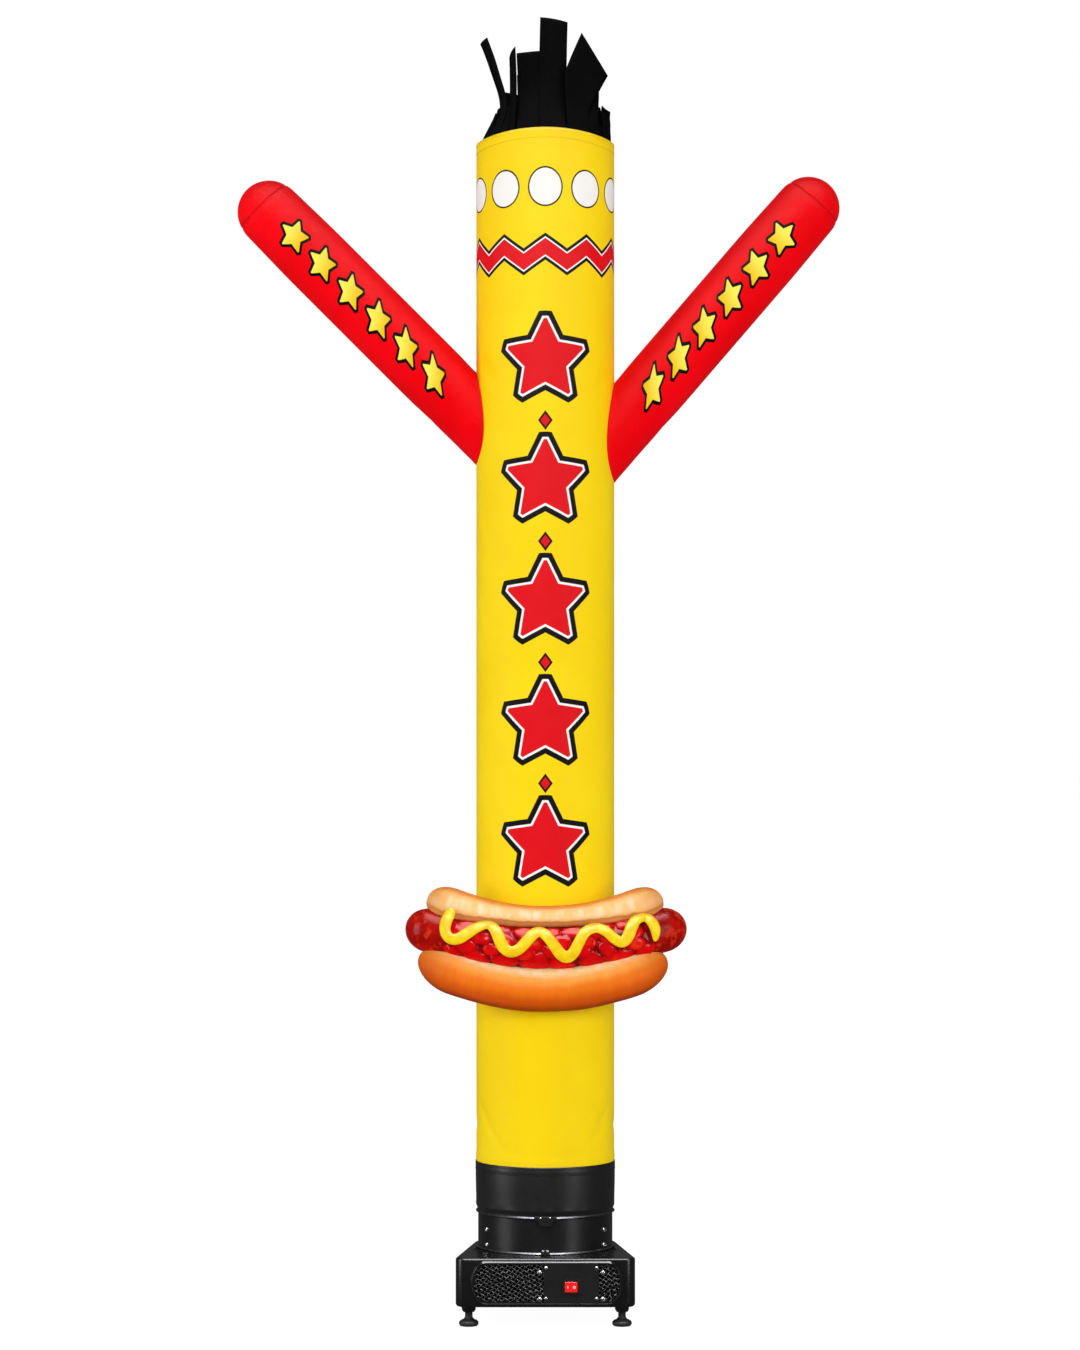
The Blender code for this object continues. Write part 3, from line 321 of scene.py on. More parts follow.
def to_piece(bm, name, finish, slot, rides=BODY, sharp=40, closed=True):
    """Merge, turn the faces outwards, and put the mesh in an object that rides a body."""
    bmesh.ops.remove_doubles(bm, verts=bm.verts, dist=0.00001)
    if closed:
        bmesh.ops.recalc_face_normals(bm, faces=bm.faces)
    mesh = bpy.data.meshes.new(name)
    bm.to_mesh(mesh)
    bm.free()
    mesh.shade_smooth()
    if sharp:
        mesh.set_sharp_from_angle(angle=math.radians(sharp))
    mesh.materials.append(finish.material)
    piece = bpy.data.objects.new(name, mesh)
    bpy.context.scene.collection.objects.link(piece)
    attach(piece, rides)
    return piece


def thicken(piece, wall, offset=-1.0):
    """Give a sheet its wall; -1 keeps the outer face where it is."""
    skin = piece.modifiers.new("wall", "SOLIDIFY")
    skin.thickness, skin.offset = wall, offset
    return piece


def soften(piece, width, segments=2, angle=35):
    """Round the edges that turn sharply."""
    edge = piece.modifiers.new("edge", "BEVEL")
    edge.width, edge.segments, edge.limit_method = width, segments, "ANGLE"
    edge.angle_limit = math.radians(angle)
    return piece


def join_bmesh(target, part):
    """Add one bmesh to another."""
    spare = bpy.data.meshes.new("spare")
    part.to_mesh(spare)
    part.free()
    target.from_mesh(spare)
    bpy.data.meshes.remove(spare)


print("every piece rides", BODY, "unless it says otherwise")

# %% [markdown]
# Cloth is modelled as it is made. A flat grid takes its UV map first, in metres, and
# only then does a function of two numbers roll it into place. Two soft curves, a step
# and a hill, shape its folds.

# %% Helpers for cloth
def rolled_cloth(columns, rows, place, width, length):
    """A sheet of cloth, woven flat with its UV map in metres, then put in its place."""
    bm = bmesh.new()
    bmesh.ops.create_grid(bm, x_segments=columns, y_segments=rows, size=0.5)
    weave = bm.loops.layers.uv.new("cloth")
    for face in bm.faces:
        for loop in face.loops:
            across, along = loop.vert.co.x, loop.vert.co.y + 0.5
            loop[weave].uv = (across * width, along * length)
    for vert in bm.verts:
        vert.co = place(vert.co.x, vert.co.y + 0.5)
    return bm


def smooth_step(value):
    """A soft step from zero to one."""
    value = min(max(value, 0.0), 1.0)
    return value * value * (3 - 2 * value)


def hill(value, middle, width):
    """A smooth hill of height one."""
    return math.exp(-((value - middle) / width) ** 2)


print("a hill one width away from its middle: %.2f" % hill(1.0, 0.0, 1.0))

# %% [markdown]
# ## Stitches
# Thread, wires and piping are all beads: a flat grid rolled round a line, so that a
# whole row costs one operator. The thinner a bead, the fewer sides it needs.

# %% Helper for beads
THREAD_SIDES, WIRE_SIDES, PIPING_SIDES = 5, 6, 28


def bead(bm, points, outs, sizes, sides):
    """A closed tube along points; sizes are its (wide, thick) half sizes at each."""
    made = bmesh.ops.create_grid(bm, x_segments=sides, y_segments=len(points) - 1, size=0.5)
    last = len(points) - 1
    for vert in made["verts"]:
        row = round((vert.co.y + 0.5) * last)
        along = (points[min(row + 1, last)] - points[max(row - 1, 0)]).normalized()
        beside = along.cross(outs[row]).normalized()
        wide, thick = sizes[row]
        turn = 2 * math.pi * vert.co.x
        vert.co = (points[row] + beside * (wide * math.cos(turn))
                   + beside.cross(along).normalized() * (thick * math.sin(turn)))


print("sides: thread %d, wire %d, piping %d" % (THREAD_SIDES, WIRE_SIDES, PIPING_SIDES))

# %% [markdown]
# A sewn seam reads as sewn because its thread dips in and out of the cloth. A row of
# stitches is therefore one thin bead of thread that rises at each stitch and dives
# under the cloth between two.

# %% Helper for stitches
THREAD_R = 0.00042
THREAD_RISES = (-0.0007, 0.0001, 0.0002, 0.0001)     # the four steps of one stitch


def stitch_row(bm, path, pitch=0.0046):
    """Lay a thread along points of (place, outward), rising once every pitch."""
    lengths = [0.0]
    for (one, _), (two, _) in zip(path, path[1:]):
        lengths.append(lengths[-1] + (two - one).length)
    count = max(8, round(lengths[-1] / pitch) * len(THREAD_RISES))
    points, outs, leg = [], [], 0
    for step in range(count + 1):
        goal = lengths[-1] * step / count
        while leg < len(path) - 2 and lengths[leg + 1] < goal:
            leg += 1
        share = (goal - lengths[leg]) / max(lengths[leg + 1] - lengths[leg], 1e-9)
        out = path[leg][1].lerp(path[leg + 1][1], share).normalized()
        rise = THREAD_RISES[step % len(THREAD_RISES)]
        points.append(path[leg][0].lerp(path[leg + 1][0], share) + out * rise)
        outs.append(out)
    sizes = [(THREAD_R, THREAD_R)] * (count + 1)
    sizes[0] = sizes[-1] = (0.0, 0.0)
    bead(bm, points, outs, sizes, THREAD_SIDES)


print("thread %.1f mm wide" % (2000 * THREAD_R))

# %% [markdown]
# Most rows run round the dancer's main axis. The threads match the cloth that they
# sew: yellow on the tube, red on the arms and black on the cuff.

# %% Rings and threads
def around(radius, z, rise=None, steps=144, first=0.0, last=2 * math.pi):
    """Points of a ring round the main axis, each with its outward direction."""
    path = []
    for step in range(steps + 1):
        bearing = first + (last - first) * step / steps
        out = Vector((math.sin(bearing), -math.cos(bearing), 0))
        path.append((out * radius + Vector((0, 0, z + (rise(bearing) if rise else 0))), out))
    return path


def thread_finish(name, colour):
    """Twisted sewing thread: a slight gloss, and a twist as fine ribs."""
    made = Finish(name, 0.55, Specular_IOR_Level=0.15, Sheen_Weight=0.05)
    twist = made.cloud(2600, detail=1.0)
    made.colour(made.blend(twist, tuple(c * 0.78 for c in colour), colour))
    return made.bump(twist, 0.0001, 0.6)


yellow_thread = thread_finish("yellow_thread", from_screen(226, 186, 8))
red_thread = thread_finish("red_thread", from_screen(205, 10, 16))
black_thread = thread_finish("black_thread", from_screen(24, 24, 25))
print("a ring at z = 1 m: %d points" % len(around(0.1, 1.0)))

# %% [markdown]
# ## The tube's cloth and its print
# The tube is one panel of light yellow nylon, rolled and sewn up the back. Its print
# is drawn by maths on the UV map, so it stays crisp at any distance. A shape's signed
# distance, positive inside, gives its fill and its even outlines. Only generic shapes
# are printed: stars, diamonds, discs and a zigzag band.

# %% Printed shapes
def star_inside(made, u, v, reach, waist=0.50):
    """Distance inside a five-pointed star, with blunt points."""
    fold = made.math("PINGPONG", made.math("ARCTAN2", u, v), math.pi / 5)
    away = made.math("SQRT", made.math("ADD", made.math("MULTIPLY", u, u),
                                       made.math("MULTIPLY", v, v)))
    across = made.math("MULTIPLY", away, made.math("SINE", fold))
    up = made.math("MULTIPLY", away, made.math("COSINE", fold))
    inner = Vector((math.sin(math.pi / 5), math.cos(math.pi / 5))) * reach * waist
    edge = (inner - Vector((0, reach))).normalized()
    inward = Vector((edge.y, -edge.x))
    if inward.y > 0:
        inward = -inward
    flat = made.math("ADD", made.math("MULTIPLY", across, inward.x),
                     made.math("MULTIPLY", made.math("SUBTRACT", up, reach), inward.y))
    blunt = made.math("SUBTRACT", reach * 0.93, away)
    return made.math("MINIMUM", flat, blunt)


def repeated(made, value, pitch, middle=0.0):
    """A place that starts again every pitch, with a middle at zero."""
    return made.math("WRAP", made.math("SUBTRACT", value, middle), -pitch / 2, pitch / 2)


def printed(made, under, inside, layers):
    """Lay inks over a ground, outermost first, as (how far outside, colour)."""
    for grow, ink in layers:
        share = made.between(inside, -grow - 0.0004, -grow + 0.0004)
        under = made.blend(share, under, ink)
    return under


INK_BLACK, INK_WHITE = from_screen(10, 8, 7), from_screen(250, 248, 244)
INK_RED = from_screen(226, 6, 22)
print("inks:", [round(c, 3) for c in INK_RED])

# %% [markdown]
# Nylon flag cloth is thin and closely woven. Its colour clouds slightly, its threads
# make a very fine grid, and soft ripples break its faint highlights.

# %% Helpers for nylon
WEAVE_PITCH, WEAVE_DEPTH = 0.0011, 0.00006


def weave_into(made):
    """Raise the grid of threads, over soft ripples of the cloth."""
    made.bump(made.cloud(16, detail=2.0), 0.0016, 0.35)
    parts = made.across(made.cloth)
    grid = [made.math("SINE", made.math("MULTIPLY", part, 2 * math.pi / WEAVE_PITCH))
            for part in parts[:2]]
    return made.bump(made.math("MAXIMUM", *grid), WEAVE_DEPTH, 0.5)


def nylon(name, ground, deep, shine=0.08):
    """Nylon in one colour, slightly clouded; the print is added on top."""
    made = Finish(name, 0.5, Specular_IOR_Level=shine)
    made.ground = made.blend(made.between(made.cloud(5), 0.35, 0.7), deep, ground)
    made.rough(made.between(made.cloud(40), 0.3, 0.7, 0.42, 0.55))
    return weave_into(made)


yellow_nylon = nylon("yellow_nylon", from_screen(255, 222, 14), from_screen(253, 215, 6))
print("nylon: %d ribs of the weave in a centimetre" % (0.01 / WEAVE_PITCH))

# %% [markdown]
# A column of five stars runs up the front, and another up the back. One star is drawn
# and repeated by wrapping the height, and a pair of limits keeps the column short.

# %% Stars of the tube
TUBE_R, CLOTH_WALL = 0.1540, 0.0006
TUBE_ROUND = 2 * math.pi * TUBE_R
TUBE_BOTTOM, TUBE_TOP = 0.3150, 2.6100
STAR_PITCH, STAR_FIRST, STAR_REACH = 0.266, 1.056, 0.098
STAR_COLUMN, DIAMOND_COLUMN = (0.93, 2.245), (1.10, 2.06)


def only_in_column(made, inside, place, column):
    """Keep a printed shape only where a place lies between a column's two limits."""
    within = made.math("MULTIPLY", made.math("GREATER_THAN", place, column[0]),
                       made.math("LESS_THAN", place, column[1]))
    return made.math("MINIMUM", inside, made.math("SUBTRACT", within, 0.5))


u, v, _ = yellow_nylon.across(yellow_nylon.cloth)
height = yellow_nylon.math("ADD", v, TUBE_BOTTOM)

star_u = repeated(yellow_nylon, u, TUBE_ROUND / 2)
star_v = repeated(yellow_nylon, height, STAR_PITCH, STAR_FIRST)
stars = only_in_column(yellow_nylon, star_inside(yellow_nylon, star_u, star_v, STAR_REACH),
                       height, STAR_COLUMN)
cloth_print = printed(yellow_nylon, yellow_nylon.ground, stars,
                      ((0.0165, INK_BLACK), (0.0050, INK_WHITE), (0.0, INK_RED)))
print("stars: %d in a column, %.0f mm apart, front and back" % (
    1 + (STAR_COLUMN[1] - STAR_FIRST) // STAR_PITCH, STAR_PITCH * 1000))

# %% [markdown]
# Small diamonds sit between the stars. A band of zigzag circles the head, drawn by
# comparing the height with a folded copy of the way round. Plain discs stand over it.

# %% Diamonds, band and discs
diamond_v = repeated(yellow_nylon, height, STAR_PITCH, STAR_FIRST + STAR_PITCH / 2)
diamond = yellow_nylon.math("SUBTRACT", 0.0085, yellow_nylon.math(
    "ADD", yellow_nylon.math("MULTIPLY", yellow_nylon.math("ABSOLUTE", star_u), 0.80),
    yellow_nylon.math("MULTIPLY", yellow_nylon.math("ABSOLUTE", diamond_v), 0.60)))
diamond = only_in_column(yellow_nylon, diamond, height, DIAMOND_COLUMN)
cloth_print = printed(yellow_nylon, cloth_print, diamond,
                      ((0.0045, INK_BLACK), (0.0, INK_RED)))

BAND_PERIODS, BAND_AT, BAND_HIGH = 10, 2.352, 0.034
period = TUBE_ROUND / BAND_PERIODS
swing = yellow_nylon.math("MULTIPLY", yellow_nylon.math(
    "PINGPONG", yellow_nylon.math("ADD", u, period / 2), period / 2), 2 * BAND_HIGH / period)
over_band = yellow_nylon.math("SUBTRACT", height, BAND_AT - BAND_HIGH / 2)
level = yellow_nylon.math("SUBTRACT", over_band, swing)
band = yellow_nylon.math("SUBTRACT", 0.0150,
                         yellow_nylon.math("MULTIPLY", yellow_nylon.math("ABSOLUTE", level), 0.82))
cloth_print = printed(yellow_nylon, cloth_print, band,
                      ((0.0095, INK_BLACK), (0.0030, INK_WHITE), (0.0, INK_RED)))

DISCS, DISC_R, DISC_AT = 10, 0.0355, 2.492
disc_u = repeated(yellow_nylon, u, TUBE_ROUND / DISCS)
disc_v = yellow_nylon.math("SUBTRACT", height, DISC_AT)
disc = yellow_nylon.math("SUBTRACT", DISC_R, yellow_nylon.math("SQRT", yellow_nylon.math(
    "ADD", yellow_nylon.math("MULTIPLY", disc_u, disc_u),
    yellow_nylon.math("MULTIPLY", disc_v, disc_v))))
cloth_print = printed(yellow_nylon, cloth_print, disc, ((0.0032, INK_BLACK), (0.0, INK_WHITE)))
yellow_nylon.colour(cloth_print)
print("band of %d points and %d discs round the head" % (BAND_PERIODS, DISCS))

# %% [markdown]
# Air makes the tube round, but it leaves creases where the cloth is held: above the
# cuff and near the arms. A crease is a long soft hill pushed inwards, at a slant.

# %% Creases of the tube
# creases: degrees from the front, height, half length, slant, half width, depth
TUBE_CREASES = (
    (56, 0.447, 0.036, 42, 0.0080, 0.0034), (50, 0.414, 0.036, 34, 0.0075, 0.0030),
    (-60, 0.450, 0.036, -44, 0.0080, 0.0036), (-49, 0.411, 0.036, -42, 0.0075, 0.0034),
    (84, 0.430, 0.045, -28, 0.011, 0.0024), (-84, 0.432, 0.045, 24, 0.011, 0.0022),
    (150, 0.420, 0.060, 18, 0.013, 0.0024), (-140, 0.430, 0.055, -30, 0.013, 0.0024),
    (58, 2.080, 0.045, 40, 0.016, 0.0022), (-58, 2.105, 0.045, -40, 0.016, 0.0022),
    (125, 2.060, 0.045, -35, 0.016, 0.0020), (-125, 2.070, 0.045, 35, 0.016, 0.0020),
    (30, 0.372, 0.030, 12, 0.007, 0.0010), (-28, 0.376, 0.032, -15, 0.007, 0.0011),
    (8, 0.366, 0.026, -8, 0.006, 0.0008), (-48, 0.392, 0.030, 20, 0.006, 0.0010),
    (47, 0.388, 0.030, -24, 0.006, 0.0010), (110, 0.400, 0.040, 30, 0.009, 0.0018),
    (-108, 0.398, 0.040, -26, 0.009, 0.0018), (178, 0.395, 0.030, 15, 0.008, 0.0014),
)


def creased(bearing, z, creases, radius):
    """How far creases draw the wall in, at a bearing from the front and a height."""
    total = 0.0
    for at, middle, half, slant, wide, deep in creases:
        up = z - middle
        if abs(up) > 2.5 * half:
            continue
        beside = math.remainder(bearing - math.radians(at), 2 * math.pi) * radius
        cosine, sine = math.cos(math.radians(slant)), math.sin(math.radians(slant))
        total += deep * hill(beside * cosine + up * sine, 0, half) * hill(
            up * cosine - beside * sine, 0, wide)
    return total


print("creases on the tube:", len(TUBE_CREASES))

# %% [markdown]
# The tube itself is a flat grid rolled into a cylinder. Apart from its creases, only
# a few things move its wall: a small swell over the cuff's hem, the groove of the
# seam at the back, and the hem at its rim. The rim stands higher in front and behind.

# %% Shape of the tube
RIM_RISE, RIM_RISE_FROM, CUFF_TOP = 0.0210, 2.40, 0.3450


def rim_rise(bearing, z=TUBE_TOP):
    """How much higher the rim stands in front and behind."""
    return RIM_RISE * math.cos(bearing) ** 2 * smooth_step(
        (z - RIM_RISE_FROM) / (TUBE_TOP - RIM_RISE_FROM))


def tube_wall(bearing, z):
    """Radius of the tube's outside."""
    if z < CUFF_TOP:
        return TUBE_R
    in_at = creased(bearing, z, TUBE_CREASES, TUBE_R)
    swell = 0.0011 * hill(z, CUFF_TOP + 0.0105, 0.008)
    seam = 0.0012 * hill(abs(bearing), math.pi, 0.022)
    hem = 0.0006 * hill(z, TUBE_TOP - 0.024, 0.004)
    return TUBE_R - in_at + swell - seam - hem


def tube_spot(across, along):
    """Where a point of the flat tube ends up: across runs round it, along runs up."""
    bearing = 2 * math.pi * across
    z = TUBE_BOTTOM + (TUBE_TOP - TUBE_BOTTOM) * along
    radius = tube_wall(bearing, z)
    return Vector((radius * math.sin(bearing), -radius * math.cos(bearing),
                   z + rim_rise(bearing, z)))


print("rim is %.0f mm higher in front than at the sides" % (RIM_RISE * 1000))

# %% [markdown]
# An arm leaves the tube's side at its own height and slope. The two differ, as the
# air holds them. Their places are needed now, for the ports in the tube.

# %% Places of the arms
ARMS = {
    "left": dict(side=-1, root=1.998, rise=45.0, radius=0.0752, length=0.650),
    "right": dict(side=1, root=1.966, rise=49.3, radius=0.0747, length=0.660),
}
PORT_R = 0.0620


def arm_frame(arm):
    """Root, direction along the arm, the front, and the arm's upper side."""
    rise = math.radians(arm["rise"])
    along = Vector((arm["side"] * math.cos(rise), 0, math.sin(rise)))
    front = Vector((0, -1, 0))
    over = Vector((-arm["side"] * math.sin(rise), 0, math.cos(rise)))
    return Vector((arm["side"] * TUBE_R, 0, arm["root"])), along, front, over


def off_axis(point, arm):
    """Distance of a point from an arm's middle line."""
    root, along, _, _ = arm_frame(arm)
    away = point - root
    return (away - along * away.dot(along)).length


for side, arm in ARMS.items():
    print("arm", side, "leaves the tube at z = %.3f" % arm["root"])

# %% [markdown]
# Each arm opens into the tube through a round port. The faces inside a port are taken
# out of the grid, and Solidify then gives the cloth its wall.

# %% Roll the tube
bm = rolled_cloth(150, 300, tube_spot, TUBE_ROUND, TUBE_TOP - TUBE_BOTTOM)
ports = [face for face in bm.faces if any(
    off_axis(face.calc_center_median(), arm) < PORT_R
    and face.calc_center_median().x * arm["side"] > 0 for arm in ARMS.values())]
bmesh.ops.delete(bm, geom=ports, context="FACES")
tube_cloth = thicken(to_piece(bm, "tube_cloth", yellow_nylon, "yellow_nylon", sharp=None),
                     CLOTH_WALL)
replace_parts(tube_cloth, "body_tube")
print("tube:", len(tube_cloth.data.polygons), "faces,", len(ports), "cut for ports")

# %% [markdown]
# The back seam and the rim's hem are sewn. The back seam is a flat fell seam, so two
# rows of thread run beside its groove. The hem at the rim has two rows as well.

# %% Stitches of the tube
SEAM_LOW, SEAM_ASIDE, SEAM_STEPS = 0.362, 0.034, 180     # metres, radians
bm = bmesh.new()
for beside in (-1, 1):
    seam = []
    for step in range(SEAM_STEPS + 1):
        z = SEAM_LOW + (TUBE_TOP - SEAM_LOW) * step / SEAM_STEPS
        bearing = math.pi + beside * SEAM_ASIDE
        out = Vector((math.sin(bearing), -math.cos(bearing), 0))
        seam.append((out * (tube_wall(bearing, z) + 0.0001)
                     + Vector((0, 0, z + rim_rise(bearing, z))), out))
    stitch_row(bm, seam, pitch=0.0062)
for down in (0.006, 0.022):
    stitch_row(bm, around(TUBE_R + 0.0001, TUBE_TOP - down,
                          rise=lambda bearing: rim_rise(bearing)), pitch=0.0056)
tube_stitches = to_piece(bm, "tube_stitches", yellow_thread, "yellow_nylon", sharp=None)
print("stitches on the tube:", len(tube_stitches.data.polygons) // 20)

# %% [markdown]
# ## The arms
# Each arm is a red sleeve, sewn on round its port, with a round cap sewn on its end.
# The sleeve is the same kind of rolled grid as the tube. Air blows it tight, so its
# creases lie near its two ends. Gold stars with a black outline run along its front.

# %% Red nylon with its print
ARM_STARS, ARM_STAR_PITCH, ARM_STAR_FIRST, ARM_STAR_REACH = 6, 0.0845, 0.150, 0.0365


def arm_nylon(side):
    """Red nylon with a row of gold stars along the front of the arm."""
    made = nylon("red_nylon_" + side, from_screen(250, 2, 18), from_screen(236, 0, 10),
                 shine=0.03)
    u, v, _ = made.across(made.cloth)
    star_v = repeated(made, v, ARM_STAR_PITCH, ARM_STAR_FIRST)
    column = [ARM_STAR_FIRST + ARM_STAR_PITCH * stars for stars in (-0.5, ARM_STARS - 0.5)]
    shape = only_in_column(made, star_inside(made, u, star_v, ARM_STAR_REACH), v, column)
    gold = made.blend(made.between(star_v, -0.030, 0.022), from_screen(247, 196, 12),
                      from_screen(255, 240, 92))
    return made.colour(printed(made, made.ground, shape,
                               ((0.0062, INK_BLACK), (0.0, gold))))


red_nylon = {side: arm_nylon(side) for side in ARMS}
print("arm print: %d stars, %.1f mm apart" % (ARM_STARS, 1000 * ARM_STAR_PITCH))

# %% [markdown]
# The sleeve pulls on its seams, so its creases start at its root, most of them below,
# and a few short ones lie before the cap.

# %% Creases of the arms
# creases of each arm: degrees from the front towards its upper side, distance from
# the root, half length, slant, half width, depth
ARM_CREASES = {
    "left": ((-62, 0.060, 0.050, 62, 0.008, 0.0036), (-38, 0.036, 0.040, 50, 0.008, 0.0030),
             (-84, 0.105, 0.050, 75, 0.009, 0.0030), (-20, 0.078, 0.045, 58, 0.008, 0.0020),
             (48, 0.050, 0.045, -50, 0.009, 0.0026), (75, 0.095, 0.045, -65, 0.010, 0.0022),
             (-115, 0.060, 0.050, 70, 0.010, 0.0030), (125, 0.060, 0.050, -60, 0.011, 0.0024),
             (-50, 0.600, 0.040, 35, 0.007, 0.0013), (35, 0.618, 0.035, -30, 0.006, 0.0012),
             (-8, 0.626, 0.026, 12, 0.005, 0.0009), (150, 0.080, 0.050, 40, 0.010, 0.0024)),
    "right": ((-58, 0.055, 0.050, 60, 0.008, 0.0028), (-30, 0.040, 0.040, 52, 0.008, 0.0022),
              (-86, 0.100, 0.050, 72, 0.009, 0.0026), (45, 0.052, 0.045, -52, 0.009, 0.0022),
              (78, 0.090, 0.045, -64, 0.010, 0.0022), (-118, 0.060, 0.050, 68, 0.010, 0.0028),
              (122, 0.060, 0.050, -58, 0.011, 0.0024), (-42, 0.612, 0.038, 34, 0.007, 0.0013),
              (30, 0.628, 0.034, -30, 0.006, 0.0012), (155, 0.080, 0.050, 42, 0.010, 0.0022)),
}
print("creases on the arms:", {side: len(rows) for side, rows in ARM_CREASES.items()})

# %% [markdown]
# A sleeve narrows a little at both ends. Its root is cut to a wave, so that every
# line along it stops on the tube's round wall.

# %% Length and thickness of a sleeve
CAP_SEAM, SEAM_DRAWN, ROOT_TAPER, TIP_TAPER = 0.021, 0.0016, 0.035, 0.040
SEAM_CLEAR = 0.0003


def arm_radius(arm, along):
    """Radius of an arm at a distance from its root."""
    past = max(along - arm["length"], 0.0)
    drawn = SEAM_DRAWN * hill(past, CAP_SEAM, 0.006) if past else 0.0
    full = (1 - ROOT_TAPER * smooth_step(1 - along / 0.14)
            - TIP_TAPER * smooth_step((along - arm["length"]) / 0.20 + 0.8))
    return full * math.sqrt(max(arm["radius"] ** 2 - past ** 2, 0.0)) - drawn


def sleeve_root(arm, bearing, radius):
    """Where a line along the sleeve meets the tube's wall."""
    _, along, _, over = arm_frame(arm)
    aside = radius * math.sin(bearing) * over.x * arm["side"]
    reach = math.sqrt((TUBE_R + SEAM_CLEAR) ** 2 - (radius * math.cos(bearing)) ** 2)
    return (reach - TUBE_R - aside) / abs(along.x)


roots = [sleeve_root(ARMS["left"], bearing, 0.0726) for bearing in (1.57, -1.57)]
print("sleeve's root wave: %.0f mm" % (1000 * (roots[0] - roots[1])))

# %% [markdown]
# Both ends of the sleeve are gathered by their seams into fine puckers. A shallow
# groove along its back is the seam that makes a tube of it.

# %% Folds of a sleeve
SLEEVE_PUCKERS, CAP_PUCKERS, ROOT_GATHERS, BACK_GROOVE = 0.0009, 0.0012, 0.0010, 0.0008


def seam_puckers(bearing):
    """Fine uneven puckers round the cap's seam, from 0 to 1."""
    return 0.5 + 0.5 * math.cos(34 * bearing + 1.7 * math.sin(3 * bearing))


def sleeve_spot(side, arm, across, along_share):
    """Where a point of the flat sleeve ends up."""
    root, along, front, over = arm_frame(arm)
    bearing = 2 * math.pi * across
    seam = arm["length"] + CAP_SEAM - SEAM_CLEAR / 2
    start = sleeve_root(arm, bearing, arm_radius(arm, 0.0))
    start = sleeve_root(arm, bearing, arm_radius(arm, start))
    way = start + (seam - start) * along_share
    from_root = smooth_step((way - start) / 0.022)
    to_seam = smooth_step((seam - way) / 0.010)
    radius = arm_radius(arm, way)
    gathers = 0.5 + 0.5 * math.cos(22 * bearing + 2.3 * math.sin(2 * bearing + 1))
    radius -= creased(bearing, way, ARM_CREASES[side], radius) * from_root * to_seam
    radius -= SLEEVE_PUCKERS * seam_puckers(bearing) * hill(way, seam, 0.020) * to_seam
    radius -= ROOT_GATHERS * gathers * hill(way, start, 0.030) * from_root
    radius -= BACK_GROOVE * hill(abs(bearing), math.pi, 0.035)
    return (root + along * way + front * (radius * math.cos(bearing))
            + over * (radius * math.sin(bearing)))


print("puckers are up to %.1f mm deep, gathers %.1f mm" % (
    1000 * SLEEVE_PUCKERS, 1000 * ROOT_GATHERS))

# %% [markdown]
# The cap is half a ball, also a rolled sheet: its far edge closes at the arm's tip.

# %% Shape of a cap
def cap_spot(arm, across, share):
    """Where a point of the cap ends up: share runs from its seam to its tip."""
    root, along, front, over = arm_frame(arm)
    bearing = 2 * math.pi * across
    first = math.asin(CAP_SEAM / arm["radius"])
    turn = first + (math.pi / 2 - first) * share
    way = arm["length"] + arm["radius"] * math.sin(turn)
    seam = arm["length"] + CAP_SEAM + SEAM_CLEAR / 2
    radius = arm_radius(arm, way) if share < 1 else 0.0
    radius -= (CAP_PUCKERS * seam_puckers(bearing) * hill(way, seam, 0.016)
               * smooth_step(share / 0.06))
    return (root + along * max(way, seam) + front * (radius * math.cos(bearing))
            + over * (radius * math.sin(bearing)))


print("caps reach %s mm from their roots" % [
    round(1000 * (arm["length"] + arm["radius"])) for arm in ARMS.values()])

# %% [markdown]
# Each arm is then two sheets and their stitches: two rows beside the cap's seam, and
# one row round the root, just outside the tube.

# %% Make the arms
for side, arm in ARMS.items():
    girth = 2 * math.pi * arm["radius"]
    long = arm["length"] + CAP_SEAM
    bm = rolled_cloth(120, 170, lambda s, t: sleeve_spot(side, arm, s, t), girth, long)
    sleeve = thicken(to_piece(bm, "sleeve_" + side, red_nylon[side], "red_nylon", sharp=None),
                     CLOTH_WALL)
    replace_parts(sleeve, "arm_" + side)

    bm = rolled_cloth(120, 26, lambda s, t: cap_spot(arm, s, t), girth, 0.1)
    cap = thicken(to_piece(bm, "sleeve_cap_" + side, red_nylon[side], "red_nylon",
                           sharp=None), CLOTH_WALL)
    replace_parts(cap, "arm_cap_" + side)

    root, along, front, over = arm_frame(arm)
    bm = bmesh.new()
    for way in (long - 0.0045, long + 0.0045):
        ring = []
        for step in range(97):
            bearing = 2 * math.pi * step / 96
            out = front * math.cos(bearing) + over * math.sin(bearing)
            ring.append((root + along * way + out * (arm_radius(arm, way) + 0.0001), out))
        stitch_row(bm, ring)
    ring = []
    for step in range(121):
        bearing = 2 * math.pi * (step / 120 - 0.5)
        out = front * math.cos(bearing) + over * math.sin(bearing)
        ring.append((sleeve_spot(side, arm, step / 120 - 0.5, 0.010) + out * 0.0001, out))
    stitch_row(bm, ring)
    to_piece(bm, "sleeve_stitches_" + side, red_thread, "red_nylon", sharp=None)
    print("arm", side, "girth %.0f mm, length %.0f mm" % (girth * 1000, long * 1000))

# %% [markdown]
# ## The cuff
# A black vinyl cuff joins the tube to the drum. Vinyl is heavier than nylon: it keeps
# a smooth round shape and shines softly, over a fine pressed grain.

